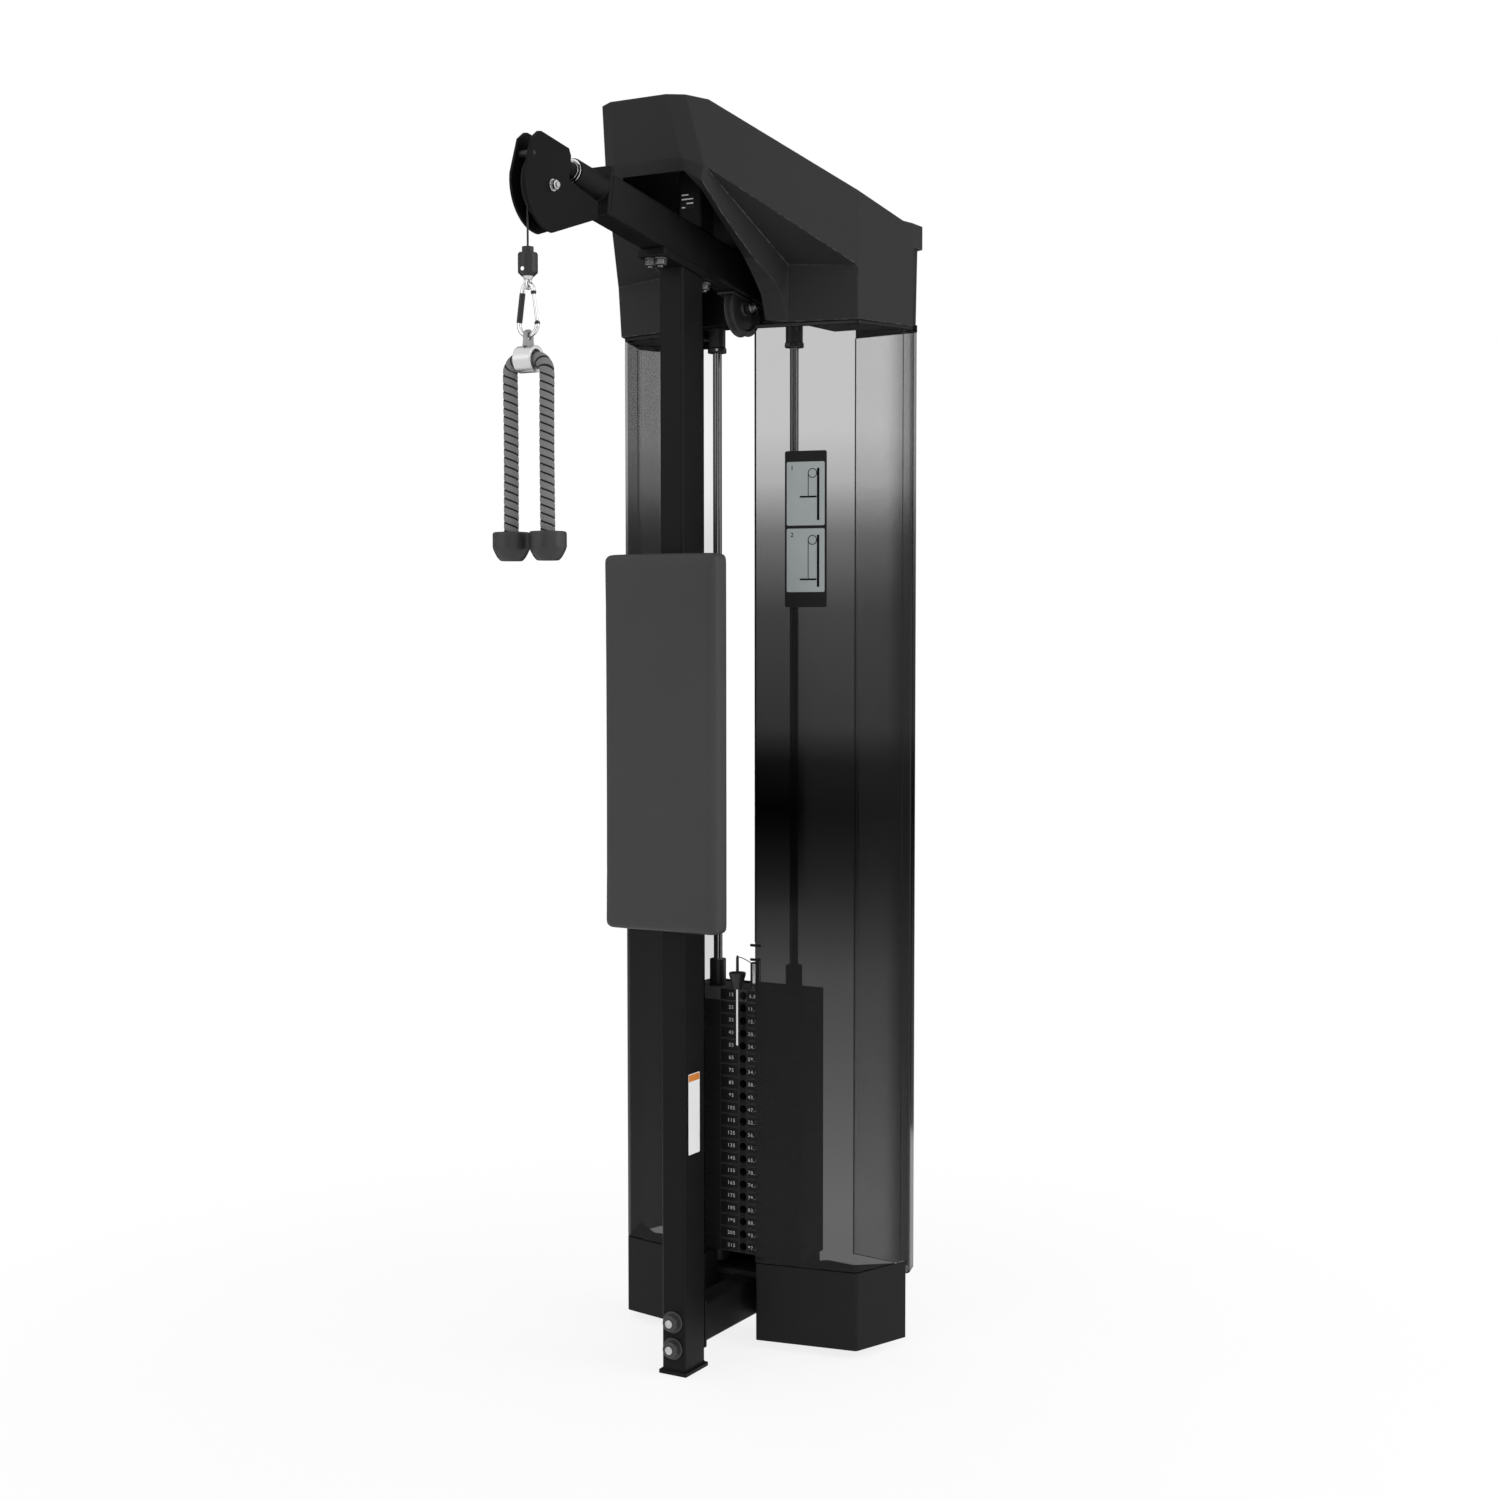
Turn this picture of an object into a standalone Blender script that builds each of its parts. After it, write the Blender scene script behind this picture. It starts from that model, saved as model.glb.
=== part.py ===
"""High pulley triceps station: a selectorised weight stack with one swivelling high pulley.

Frame of the model: metres, +Z up, +X to the user's right, +Y away from the user.
The origin is the centre of the front post's foot, on the floor.
"""
import math

import bmesh
import bpy
from mathutils import Matrix, Vector

# Clearance between pieces that touch
GAP = 0.0003
# How far joined shapes run into each other
OVERLAP = 0.0005

# Steel tube of 3 by 2 inches, used for post, boom and base
TUBE_WIDE = 0.0508
TUBE_DEEP = 0.0762
TUBE_WALL = 0.003
TUBE_CORNER = 0.006

# Front post and its foot
FOOT_OVERHANG_X = 0.0051
FOOT_OVERHANG_Y = 0.0034
FOOT_THICK = 0.008
POST_BOLT_HEIGHTS = {"post_bolt_lower": 0.0515, "post_bolt_upper": 0.1025}
POST_BOLT_RADIUS = 0.008

# Boom: its centre line crosses the post's axis at BOOM_HEIGHT and falls to the rear
BOOM_HEIGHT = 2.1363
BOOM_TILT = math.radians(9.0)
BOOM_FRONT = -0.2734
BOOM_REAR = 0.2970
POST_PLATE_THICK = 0.0148
POST_PLATE_HALF = 0.100
POST_PLATE_WIDE = 0.060

# Swivel of the pulley head, on a line parallel to the boom's
SWIVEL_RISE = 0.012
SLEEVE_RADIUS = 0.0242
SLEEVE_BORE = 0.0204
SLEEVE_FRONT = -0.366
END_PLATE_THICK = 0.010
END_PLATE_TOP = 0.050
SWIVEL_TUBE_RADIUS = 0.0198
SWIVEL_TUBE_BORE = 0.0120
SWIVEL_FLANGE_RADIUS = 0.0232
SWIVEL_FLANGE_THICK = 0.003
SWIVEL_NECK_RADIUS = 0.0160
CHEEK_REAR = -0.3920
SWIVEL_TUBE_REAR = -0.300

# Pulleys and cable
PULLEY_RADIUS = 0.057
PULLEY_WIDE = 0.020
GROOVE_RADIUS = 0.0475
CABLE_PITCH_RADIUS = 0.050
CABLE_RADIUS = 0.0018
AXLE_RADIUS = 0.0048
AXLE_BORE = 0.0053
CHEEK_THICK = 0.005
FRONT_CHEEK_INNER = 0.0115
REAR_CHEEK_INNER = 0.0145
FRONT_WHEEL_ALONG = -0.4381
REAR_WHEEL = (0.2285, 2.047)
WHEEL_CLEARANCE = 0.003
BRACKET_FRONT = 0.170
BRACKET_REAR = 0.2960
BRACKET_LUG_HALF = 0.017
BRACKET_LUG_TOP = 0.0095

# Side view of the head's cheek plates, about the wheel's centre: a round front, then corners
CHEEK_ARC_RADIUS = 0.0795
CHEEK_ARC = (172, 270)
CHEEK_REAR_CORNERS = [(0.136, -0.035), (0.137, -0.005), (0.0495, 0.018), (0.056, 0.059), (0.050, 0.071)]
CHEEK_TOP_CORNERS = [(-0.031, 0.0845), (-0.040, 0.083), (-0.058, 0.070)]

# Bolts and nuts: radius and height, then the washer's
BOLT_PROUD = 0.003
POST_NUT = (0.0165, 0.0115, 0.021, 0.003)
AXLE_HEAD = (0.0085, 0.0060)
AXLE_NUT = (0.0085, 0.0075, 0.0105, 0.0016)

# Weight stack
STACK_Y = 0.2785
STACK_WIDE = 0.258
STACK_DEEP = 0.1016
PLATE_PITCH = 0.0254
PLATE_THICK = 0.0250
PLATE_COUNT = 20
SINGLE_PLATES = 11
SEAM_DEEP = 0.004
STACK_TOP = 0.6765
HEAD_PLATE_TOP = 0.7019
TRAY_DEEP = 0.004
TRAY_RIM = 0.008
PIN_HOLE_RADIUS = 0.0082
STEM_HOLE_RADIUS = 0.0130
ROD_HOLE_RADIUS = 0.0104
ROD_X = 0.088
ROD_RADIUS = 0.0085
ROD_TOP = 2.030
COLLAR_RADIUS = 0.0168
COLLAR_TALL = 0.048
BUMPER_RADIUS = 0.0225
BUSHING_RADIUS = 0.0165
BUSHING_TOP = 0.751
STEM_RADIUS = 0.0105
STEM_TOP = 0.790
STEM_NECK = 0.749
STEM_BOTTOM = 0.1735
CLEVIS_HALF = 0.0055
CLEVIS_PIN = (0.0028, 0.0115)
CLEVIS_PIN_HEIGHTS = (0.7545, 0.7835)
STEM_HOLE = 0.0052

# Base
BEAM_BOTTOM = 0.0453
BEAM_TOP = BEAM_BOTTOM + TUBE_DEEP
FLANGE_THICK = 0.006
CROSS_HALF = 0.262
REAR_FOOT_X = 0.205
BASE_PLATE_THICK = 0.0117
UPSTAND_HALF = 0.120
UPSTAND_THICK = 0.003
UPSTAND_TOP = 0.1655
FLANGE_BOTTOM = 0.034
FLANGE_TOP = 0.128
CROSS_FRONT = 0.241

# Rod yoke under the rear of the boom
YOKE_BOTTOM = 2.018
YOKE_ARM_TOP = 2.094
YOKE_TOP = 2.136
YOKE_HALF = 0.118
YOKE_INNER = 0.030
YOKE_BACK_THICK = 0.008
YOKE_DEPTH = (0.253, 0.300)

# Shrouds, base covers and hood: plans of the right half, from the front opening round to the back
PLAN = [(0.059, 0.173), (0.2645, 0.210), (0.3044, 0.321), (0.313, 0.345), (0.300, 0.392), (0.156, 0.412)]
COVER_PLAN = [(0.059, 0.2245), (0.059, 0.173), (0.2645, 0.210), (0.302, 0.3145), (0.3095, 0.3355)]
COVER_SHELF = [(0.232, 0.2615), (0.171, 0.267), (0.131, 0.2245)]
COVER_BOTTOM = 0.017
COVER_TOP = 0.170
COVER_WALL = 0.003
SHROUD_BOTTOM = 0.172
SHROUD_REAR_BOTTOM = 0.1445
SHROUD_STEP_Y = 0.338
SHROUD_TOP = 1.998
SHROUD_WALL = 0.005
HOOD_WALL = 0.0035
SUPPORT_Y = 0.055
SUPPORT_WIDE = 0.050
SUPPORT_LOW = 2.14
SUPPORT_HIGH = 2.34

# Right half of the hood's outer surface
HOOD_POINTS = {
    "roof0": (0, -0.1487, 2.3746), "roof1": (0, -0.085, 2.372), "roof2": (0, 0.207, 2.246),
    "roof3": (0, 0.321, 2.203), "roof4": (0, 0.412, 2.201), "rear4": (0, 0.412, 2.060),
    "nose": (0.0594, -0.1487, 2.3746), "brow": (0.0894, -0.1291, 2.3746), "edge": (0.1124, -0.085, 2.372),
    "shoulder": (0.2645, 0.207, 2.246), "elbow": (0.2702, 0.1971, 2.103), "corner": (0.2671, 0.2025, 2.004),
    "side1": (0.3044, 0.321, 2.203), "side2": (0.313, 0.345, 2.201), "side3": (0.313, 0.388, 2.201),
    "side4": (0.300, 0.392, 2.201), "side5": (0.156, 0.412, 2.201),
    "under2": (0.313, 0.345, 2.155), "under3": (0.313, 0.388, 2.155), "under4": (0.300, 0.392, 2.155),
    "foot1": (0.3044, 0.321, 2.004), "foot2": (0.313, 0.345, 2.004),
    "foot4": (0.297, 0.392, 2.0117), "foot5": (0.156, 0.412, 2.060),
    "shelf1": (0.0935, 0.228, 2.004), "shelf2": (0.140, 0.232, 2.004), "shelf3": (0.145, 0.340, 2.004),
    "chin0": (0, -0.117, 2.267), "chin": (0.073, -0.117, 2.267), "cheek": (0.106, -0.093, 2.2545),
    "lip0": (0, -0.098, 2.248), "lip": (0.068, -0.098, 2.248),
    "jamb": (0.1255, 0.185, 2.115), "sill": (0.125, 0.1845, 2.006),
    "outer1": (0.099, -0.090, 2.228), "outer2": (0.104, -0.025, 2.178), "outer3": (0.110, 0.082, 2.112),
    "outer4": (0.116, 0.142, 2.082), "outer5": (0.120, 0.172, 2.057),
    "inner1": (0.081, -0.061, 2.219), "inner2": (0.081, 0.035, 2.157), "inner3": (0.081, 0.092, 2.120),
    "inner4": (0.081, 0.134, 2.084), "inner5": (0.081, 0.159, 2.058), "inner6": (0.081, 0.176, 2.012),
}
HOOD_FACES = [
    "roof0 nose chin chin0", "nose brow cheek chin", "chin0 chin lip lip0", "chin cheek outer1 lip",
    "lip outer1 inner1", "roof0 roof1 edge brow nose", "roof1 roof2 shoulder edge",
    "roof2 roof3 side1 shoulder", "roof3 roof4 side5 side4 side3 side2 side1",
    "brow edge cheek", "edge shoulder elbow cheek", "cheek elbow jamb", "jamb elbow corner sill",
    "cheek outer2 outer1", "cheek jamb outer2", "jamb outer3 outer2", "jamb outer4 outer3",
    "jamb outer5 outer4", "jamb sill outer5",
    "outer1 outer2 inner2 inner1", "outer2 outer3 inner3 inner2", "outer3 outer4 inner4 inner3",
    "outer4 outer5 inner5 inner4", "outer5 sill inner6 inner5",
    "shoulder side1 foot1 corner elbow", "side1 side2 under2 foot2 foot1", "side2 side3 under3 under2",
    "side3 side4 under4 under3", "under2 under3 under4", "under2 under4 foot4 foot2",
    "side4 side5 foot5 foot4 under4", "side5 roof4 rear4 foot5",
    "sill inner6 shelf1 shelf2", "sill corner foot1 shelf2", "foot1 foot2 shelf3 shelf2",
]

# Back pad
PAD_HALF = 0.1245
PAD_BOTTOM = 0.8535
PAD_TOP = 1.5595
PAD_CORNER = 0.012
PAD_CROWN = 0.003
PAD_FRONT = -0.0857

# Cable end, carabiner and triceps rope, all hanging under the front of the pulley
STOP_TOP = 2.0585
STOP_BOTTOM = 2.0095
STOP_RADIUS = 0.0168
STOP_NECK_RADIUS = 0.0098
STOP_CHAMFER = 0.006
EYE_RADIUS = 0.0085
EYE_WIRE = 0.0028
SHANK_LONG = 0.003
CARABINER_WIRE = 0.0038
CARABINER_TOP_BEND = 0.0105
CARABINER_BOTTOM_BEND = 0.0185
CARABINER_BOTTOM = 1.911
GATE_WIRE = 0.0026
GATE_LOW = 1.9332
GATE_HIGH = 1.9800
GATE_CLEARANCE = 0.0013
SLEEVE_HEIGHTS = (1.933, 1.982)
ROPE_RADIUS = 0.0127
ROPE_X = 0.0376
ROPE_BEND = 0.0226
ROPE_CROWN = 1.8715
ROPE_LOW = 1.5835
ROPE_END_RADIUS = 0.0318
ROPE_END_BOTTOM = 1.5345
ROPE_COLLAR_RADIUS = 0.0225
ROPE_COLLAR_BORE = 0.0160
ROPE_COLLAR_HALF = 0.0180
TAB_THICK = 0.006
TAB_HALF = 0.0115
TAB_HOLE = 0.006

# Selector pin, hanging shank down from its lanyard
PIN_X = -0.004
PIN_Y = 0.2130
PIN_PIVOT_Z = 0.765
PIN_KNOB_TOP = 0.738
PIN_TIP = 0.591

# Finishes: colour, roughness, metallic
FINISHES = {
    "powder_coat": ((0.012, 0.012, 0.013), 0.45, 0.0),
    "black_steel": ((0.020, 0.020, 0.021), 0.40, 0.3),
    "plate_paint": ((0.016, 0.016, 0.017), 0.50, 0.0),
    "hood_plastic": ((0.038, 0.038, 0.039), 0.60, 0.0),
    "cover_plastic": ((0.016, 0.016, 0.016), 0.55, 0.0),
    "tinted_acrylic": ((0.10, 0.10, 0.10), 0.08, 0.0),
    "chrome": ((0.75, 0.75, 0.76), 0.12, 1.0),
    "zinc": ((0.45, 0.45, 0.46), 0.30, 1.0),
    "vinyl": ((0.050, 0.050, 0.050), 0.50, 0.0),
    "rubber": ((0.030, 0.030, 0.031), 0.75, 0.0),
    "nylon": ((0.014, 0.014, 0.014), 0.40, 0.0),
    "rope_fibre": ((0.18, 0.18, 0.18), 0.90, 0.0),
    "cable_sheath": ((0.015, 0.015, 0.015), 0.35, 0.0),
}

ALONG = Vector((0, math.cos(BOOM_TILT), -math.sin(BOOM_TILT)))
RISE = Vector((0, math.sin(BOOM_TILT), math.cos(BOOM_TILT)))
BOOM_ORIGIN = Vector((0, 0, BOOM_HEIGHT))
BOOM_TURN = Matrix(((1, 0, 0), ALONG, RISE)).transposed().to_4x4()
BOOM_FRAME = Matrix.Translation(BOOM_ORIGIN) @ BOOM_TURN

# Turns a piece made along Z so that it lies along X or along Y
LIE_X = Matrix.Rotation(math.radians(90), 4, "Y")
LIE_Y = Matrix.Rotation(math.radians(-90), 4, "X")
# Stands a flat outline in the YZ plane, its own X along Y and its own Y along Z
SIDE_ON = Matrix(((0, 0, 1, 0), (1, 0, 0, 0), (0, 1, 0, 0), (0, 0, 0, 1)))

COLLECTIONS = {}
EMPTIES = {}
PIVOTS = {}


def boom_point(along, rise=0.0):
    """A point in the boom's middle plane, given along the boom and square to it."""
    return BOOM_ORIGIN + ALONG * along + RISE * rise


FRONT_WHEEL = boom_point(FRONT_WHEEL_ALONG, SWIVEL_RISE - CABLE_PITCH_RADIUS)
DROP_Y = FRONT_WHEEL.y - CABLE_PITCH_RADIUS
EYE_CENTRE_Z = STOP_BOTTOM - SHANK_LONG - EYE_RADIUS
CARABINER_TOP = EYE_CENTRE_Z - EYE_RADIUS + EYE_WIRE + CARABINER_WIRE + 3 * GAP

# Moving bodies: the body that carries each, and a point on its joint's axis
BODIES = {
    "carriage": (None, Vector((0, STACK_Y, HEAD_PLATE_TOP))),
    "rear_pulley_body": (None, Vector((0, *REAR_WHEEL))),
    "pulley_head": (None, boom_point(SLEEVE_FRONT, SWIVEL_RISE)),
    "front_pulley_body": ("pulley_head", FRONT_WHEEL),
    "cable_end": ("pulley_head", Vector((0, DROP_Y, STOP_TOP))),
    "carabiner_body": ("cable_end", Vector((0, DROP_Y, CARABINER_TOP))),
    "gate_body": ("carabiner_body", None),
    "rope_body": ("carabiner_body", Vector((0, DROP_Y, CARABINER_BOTTOM))),
    "pin_body": ("carriage", Vector((PIN_X, PIN_Y, PIN_PIVOT_Z))),
}


def clear_scene():
    for old in list(bpy.data.objects):
        bpy.data.objects.remove(old, do_unlink=True)
    for name in ("high_pulley_triceps_station", "cutters"):
        group = bpy.data.collections.new(name)
        bpy.context.scene.collection.children.link(group)
        COLLECTIONS[name] = group


def add_bodies():
    for name, (carrier, pivot) in BODIES.items():
        if pivot is None:
            pivot = carabiner_side(GATE_LOW + GATE_CLEARANCE)
        empty = bpy.data.objects.new(name, None)
        empty.empty_display_size = 0.03
        COLLECTIONS["high_pulley_triceps_station"].objects.link(empty)
        PIVOTS[name] = pivot
        EMPTIES[name] = empty
        empty.parent = EMPTIES.get(carrier)
        empty.location = pivot - PIVOTS.get(carrier, Vector())


def finish(node, kind):
    colour, roughness, metallic = FINISHES[kind]
    made = bpy.data.materials.new(node + "_finish")
    made.use_nodes = True
    shader = made.node_tree.nodes["Principled BSDF"]
    shader.inputs["Base Color"].default_value = (*colour, 1.0)
    shader.inputs["Roughness"].default_value = roughness
    shader.inputs["Metallic"].default_value = metallic
    return made


def add_piece(name, data, kind, body=None, matrix=None):
    """Links one named sub-part, on its body's empty, and gives it its finish."""
    piece = bpy.data.objects.new(name, data)
    COLLECTIONS["high_pulley_triceps_station"].objects.link(piece)
    data.materials.append(finish(name, kind))
    place = matrix or Matrix()
    if body:
        piece.parent = EMPTIES[body]
        place = Matrix.Translation(-PIVOTS[body]) @ place
    if isinstance(data, bpy.types.Mesh):
        data.transform(place)
    else:
        piece.matrix_basis = place
    return piece


def add_cutter(data, matrix=None):
    cutter = bpy.data.objects.new("cutter", data)
    COLLECTIONS["cutters"].objects.link(cutter)
    if matrix:
        data.transform(matrix)
    cutter.hide_render = True
    cutter.display_type = "WIRE"
    return cutter


def boolean(piece, tool, operation):
    step = piece.modifiers.new(operation.lower(), "BOOLEAN")
    step.operation = operation
    step.object = tool
    step.solver = "EXACT"


def cut(piece, data, matrix=None):
    boolean(piece, add_cutter(data, matrix), "DIFFERENCE")


def join(piece, data, matrix=None):
    boolean(piece, add_cutter(data, matrix), "UNION")


def smooth(data, angle=35.0):
    data.shade_smooth()
    data.set_sharp_from_angle(angle=math.radians(angle))


def from_bmesh(name, bm):
    data = bpy.data.meshes.new(name)
    bm.to_mesh(data)
    bm.free()
    return data


def box(low, high):
    bm = bmesh.new()
    bmesh.ops.create_cube(bm, size=1.0)
    low, high = Vector(low), Vector(high)
    bmesh.ops.scale(bm, vec=high - low, verts=bm.verts)
    bmesh.ops.translate(bm, vec=(low + high) / 2, verts=bm.verts)
    return from_bmesh("box", bm)


def rounded_box(low, high, radius, segments=2):
    """A box whose edges along its shortest side are rounded."""
    bm = bmesh.new()
    bmesh.ops.create_cube(bm, size=1.0)
    low, high = Vector(low), Vector(high)
    size = high - low
    bmesh.ops.scale(bm, vec=size, verts=bm.verts)
    bmesh.ops.translate(bm, vec=(low + high) / 2, verts=bm.verts)
    thin = min(range(3), key=lambda axis: size[axis])
    edges = [e for e in bm.edges if abs((e.verts[0].co - e.verts[1].co)[thin]) > 1e-6]
    bmesh.ops.bevel(bm, geom=edges, offset=radius, segments=segments, affect="EDGES", profile=0.5)
    return from_bmesh("rounded_box", bm)


def rod(start, end, radius, segments=16, end_radius=None):
    """A cylinder or cone between two points."""
    start, end = Vector(start), Vector(end)
    line = end - start
    turn = Vector((0, 0, 1)).rotation_difference(line.normalized()).to_matrix().to_4x4()
    bm = bmesh.new()
    bmesh.ops.create_cone(
        bm, cap_ends=True, segments=segments, radius1=radius,
        radius2=radius if end_radius is None else end_radius, depth=line.length,
    )
    bmesh.ops.transform(bm, matrix=Matrix.Translation((start + end) / 2) @ turn, verts=bm.verts)
    return from_bmesh("rod", bm)


def arc(centre, radius, start, end, steps):
    """Points on an arc, from one angle in degrees to another."""
    angles = [math.radians(start + (end - start) * k / steps) for k in range(steps + 1)]
    return [(centre[0] + radius * math.cos(a), centre[1] + radius * math.sin(a)) for a in angles]


def rounded_outline(wide, deep, radius, steps=2):
    points = []
    for quarter, (sx, sy) in enumerate(((1, 1), (-1, 1), (-1, -1), (1, -1))):
        middle = (sx * (wide / 2 - radius), sy * (deep / 2 - radius))
        points += arc(middle, radius, 90 * quarter, 90 * quarter + 90, steps)
    return points


def swept_wall(points, low, high, closed):
    """An upright wall along a plan outline that runs anticlockwise, so that its faces look outward."""
    bm = bmesh.new()
    verts = [bm.verts.new((x, y, low)) for x, y in points]
    ends = verts[1:] + verts[:1] if closed else verts[1:]
    edges = [bm.edges.new(pair) for pair in zip(verts, ends)]
    line = verts[1].co - verts[0].co
    grown = bmesh.ops.extrude_edge_only(bm, edges=edges)
    new = [part for part in grown["geom"] if isinstance(part, bmesh.types.BMVert)]
    bmesh.ops.translate(bm, vec=(0, 0, high - low), verts=new)
    bm.normal_update()
    first = next(face for face in bm.faces if verts[0] in face.verts and verts[1] in face.verts)
    if first.normal.dot(line.cross(Vector((0, 0, 1)))) < 0:
        bmesh.ops.reverse_faces(bm, faces=bm.faces)
    return bm


def thicken(piece, wall, offset=-1.0):
    step = piece.modifiers.new("wall", "SOLIDIFY")
    step.thickness = wall
    step.offset = offset
    step.use_even_offset = True
    return step


def tube(name, kind, low, high, matrix, wide=TUBE_WIDE, deep=TUBE_DEEP):
    """A length of rounded steel tube, open at both ends, made along Z and then placed."""
    bm = swept_wall(rounded_outline(wide, deep, TUBE_CORNER), low, high, closed=True)
    data = from_bmesh(name, bm)
    piece = add_piece(name, data, kind, matrix=matrix)
    thicken(piece, TUBE_WALL)
    return piece


def turned(name, profile, kind, body, matrix, steps=24):
    """A turned piece: its profile of radius and height runs down the outer side.

    With a bore, the profile closes into a ring.
    """
    data = bpy.data.meshes.new(name)
    bm = bmesh.new()
    verts = [bm.verts.new((r, 0, z)) for r, z in profile]
    for first, second in zip(verts, verts[1:]):
        bm.edges.new((first, second))
    if min(r for r, _ in profile) > 0:
        bm.edges.new((verts[-1], verts[0]))
    bm.to_mesh(data)
    bm.free()
    piece = bpy.data.objects.new(name, data)
    COLLECTIONS["high_pulley_triceps_station"].objects.link(piece)
    data.materials.append(finish(name, kind))
    if body:
        piece.parent = EMPTIES[body]
        matrix = Matrix.Translation(-PIVOTS[body]) @ matrix
    piece.matrix_basis = matrix
    spin = piece.modifiers.new("turn", "SCREW")
    spin.steps = steps
    spin.render_steps = steps
    spin.use_merge_vertices = True
    spin.merge_threshold = 0.00005
    spin.use_smooth_shade = True
    return piece


def flat_plate(name, outlines, thick, kind, body, matrix):
    """A plate cut from flat stock: the first outline is its edge, the others are holes."""
    data = bpy.data.curves.new(name, "CURVE")
    data.dimensions = "2D"
    data.fill_mode = "BOTH"
    data.extrude = thick / 2
    for points in outlines:
        spline = data.splines.new("POLY")
        spline.points.add(len(points) - 1)
        for point, (x, y) in zip(spline.points, points):
            point.co = (x, y, 0, 1)
        spline.use_cyclic_u = True
    return add_piece(name, data, kind, body, matrix)


def wire(name, points, radius, kind, body=None, resolution=2):
    """A round bar or cable along points, with filled ends."""
    data = bpy.data.curves.new(name, "CURVE")
    data.dimensions = "3D"
    data.bevel_depth = radius
    data.bevel_resolution = resolution
    data.use_fill_caps = True
    spline = data.splines.new("POLY")
    spline.points.add(len(points) - 1)
    for point, place in zip(spline.points, points):
        point.co = (*place, 1)
    return add_piece(name, data, kind, body)


def detached_mesh(piece):
    """A curve's shape as a welded mesh in the curve's own frame; the curve itself is removed."""
    bpy.context.view_layer.update()
    seen = piece.evaluated_get(bpy.context.evaluated_depsgraph_get())
    data = bpy.data.meshes.new_from_object(seen)
    bm = bmesh.new()
    bm.from_mesh(data)
    bmesh.ops.remove_doubles(bm, verts=bm.verts, dist=0.00001)
    bmesh.ops.recalc_face_normals(bm, faces=bm.faces)
    bm.to_mesh(data)
    bm.free()
    bpy.data.objects.remove(piece, do_unlink=True)
    return data


def curve_to_mesh(piece):
    """The same piece as a welded mesh, so that it can be cut or joined."""
    name, parent, place = piece.name, piece.parent, piece.matrix_basis.copy()
    made = bpy.data.objects.new(name, detached_mesh(piece))
    COLLECTIONS["high_pulley_triceps_station"].objects.link(made)
    made.parent = parent
    made.matrix_basis = place
    return made


def bolt(name, kind, body, head_face, nut_face, radius, head, nut):
    """A bolt whose head seats on one point and whose washer and nut seat on the other.

    head is its radius and height, or None for a stud; nut is its radius and height, then the washer's.
    """
    head_face, nut_face = Vector(head_face), Vector(nut_face)
    line = (nut_face - head_face).normalized()
    nut_radius, nut_tall, washer_radius, washer_thick = nut
    washer_end = nut_face + line * washer_thick
    nut_end = washer_end + line * nut_tall
    start = head_face - line * (head[1] - OVERLAP) if head else head_face
    piece = add_piece(name, rod(start, nut_end + line * BOLT_PROUD, radius), kind, body)
    if head:
        join(piece, rod(head_face - line * head[1], head_face, head[0], 6))
    join(piece, rod(nut_face, washer_end, washer_radius, 20))
    join(piece, rod(washer_end - line * OVERLAP, nut_end, nut_radius, 6))


def mirrored(points):
    """The left half's outline: the right half's, turned over and run the other way."""
    return [(-x, y) for x, y in reversed(points)]


def front_post():
    post = tube("front_post", "powder_coat", FOOT_THICK + GAP, BOOM_HEIGHT, Matrix())
    under = -TUBE_DEEP / 2 - POST_PLATE_THICK - 3 * GAP
    cut(post, box((-0.1, -0.3, under), (0.1, 0.3, 0.3)), BOOM_FRAME)
    for height in POST_BOLT_HEIGHTS.values():
        cut(post, rod((0, -0.1, height), (0, 0.1, height), POST_BOLT_RADIUS + GAP))
    half_x = TUBE_WIDE / 2 + FOOT_OVERHANG_X
    half_y = TUBE_DEEP / 2 + FOOT_OVERHANG_Y
    foot = rounded_box((-half_x, -half_y, 0), (half_x, half_y, FOOT_THICK), 0.002, 1)
    add_piece("post_foot_plate", foot, "powder_coat")
    top = rounded_box(
        (-POST_PLATE_WIDE / 2, -POST_PLATE_HALF, -TUBE_DEEP / 2 - GAP - POST_PLATE_THICK),
        (POST_PLATE_WIDE / 2, POST_PLATE_HALF, -TUBE_DEEP / 2 - GAP), 0.004, 1,
    )
    add_piece("post_top_plate", top, "powder_coat", matrix=BOOM_FRAME)
    for name, height in POST_BOLT_HEIGHTS.items():
        rear = TUBE_DEEP / 2 + GAP + FLANGE_THICK
        bolt(
            name, "zinc", None, (0, rear, height), (0, -TUBE_DEEP / 2 - GAP, height),
            POST_BOLT_RADIUS, None, POST_NUT,
        )


def boom():
    beam = tube("boom", "powder_coat", BOOM_FRONT, BOOM_REAR, BOOM_FRAME @ LIE_Y)
    y, z = REAR_WHEEL
    reach = PULLEY_RADIUS + WHEEL_CLEARANCE
    half = PULLEY_WIDE / 2 + WHEEL_CLEARANCE
    cut(beam, box((-half, y - reach, z), (half, y + reach, z + 0.045)))


def swivel_sleeve():
    rear = BOOM_FRONT - GAP
    front = rear - END_PLATE_THICK
    low, high = (-TUBE_WIDE / 2, front, -TUBE_DEEP / 2), (TUBE_WIDE / 2, rear, END_PLATE_TOP)
    plate = rounded_box(low, high, 0.004, 1)
    sleeve = add_piece("swivel_sleeve", plate, "powder_coat", matrix=BOOM_FRAME)
    mouth = boom_point(SLEEVE_FRONT, SWIVEL_RISE)
    join(sleeve, rod(mouth, boom_point(front + 0.002, SWIVEL_RISE), SLEEVE_RADIUS, 32))
    before = boom_point(SLEEVE_FRONT - 0.01, SWIVEL_RISE)
    cut(sleeve, rod(before, boom_point(rear + 0.01, SWIVEL_RISE), SLEEVE_BORE, 32))


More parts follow.
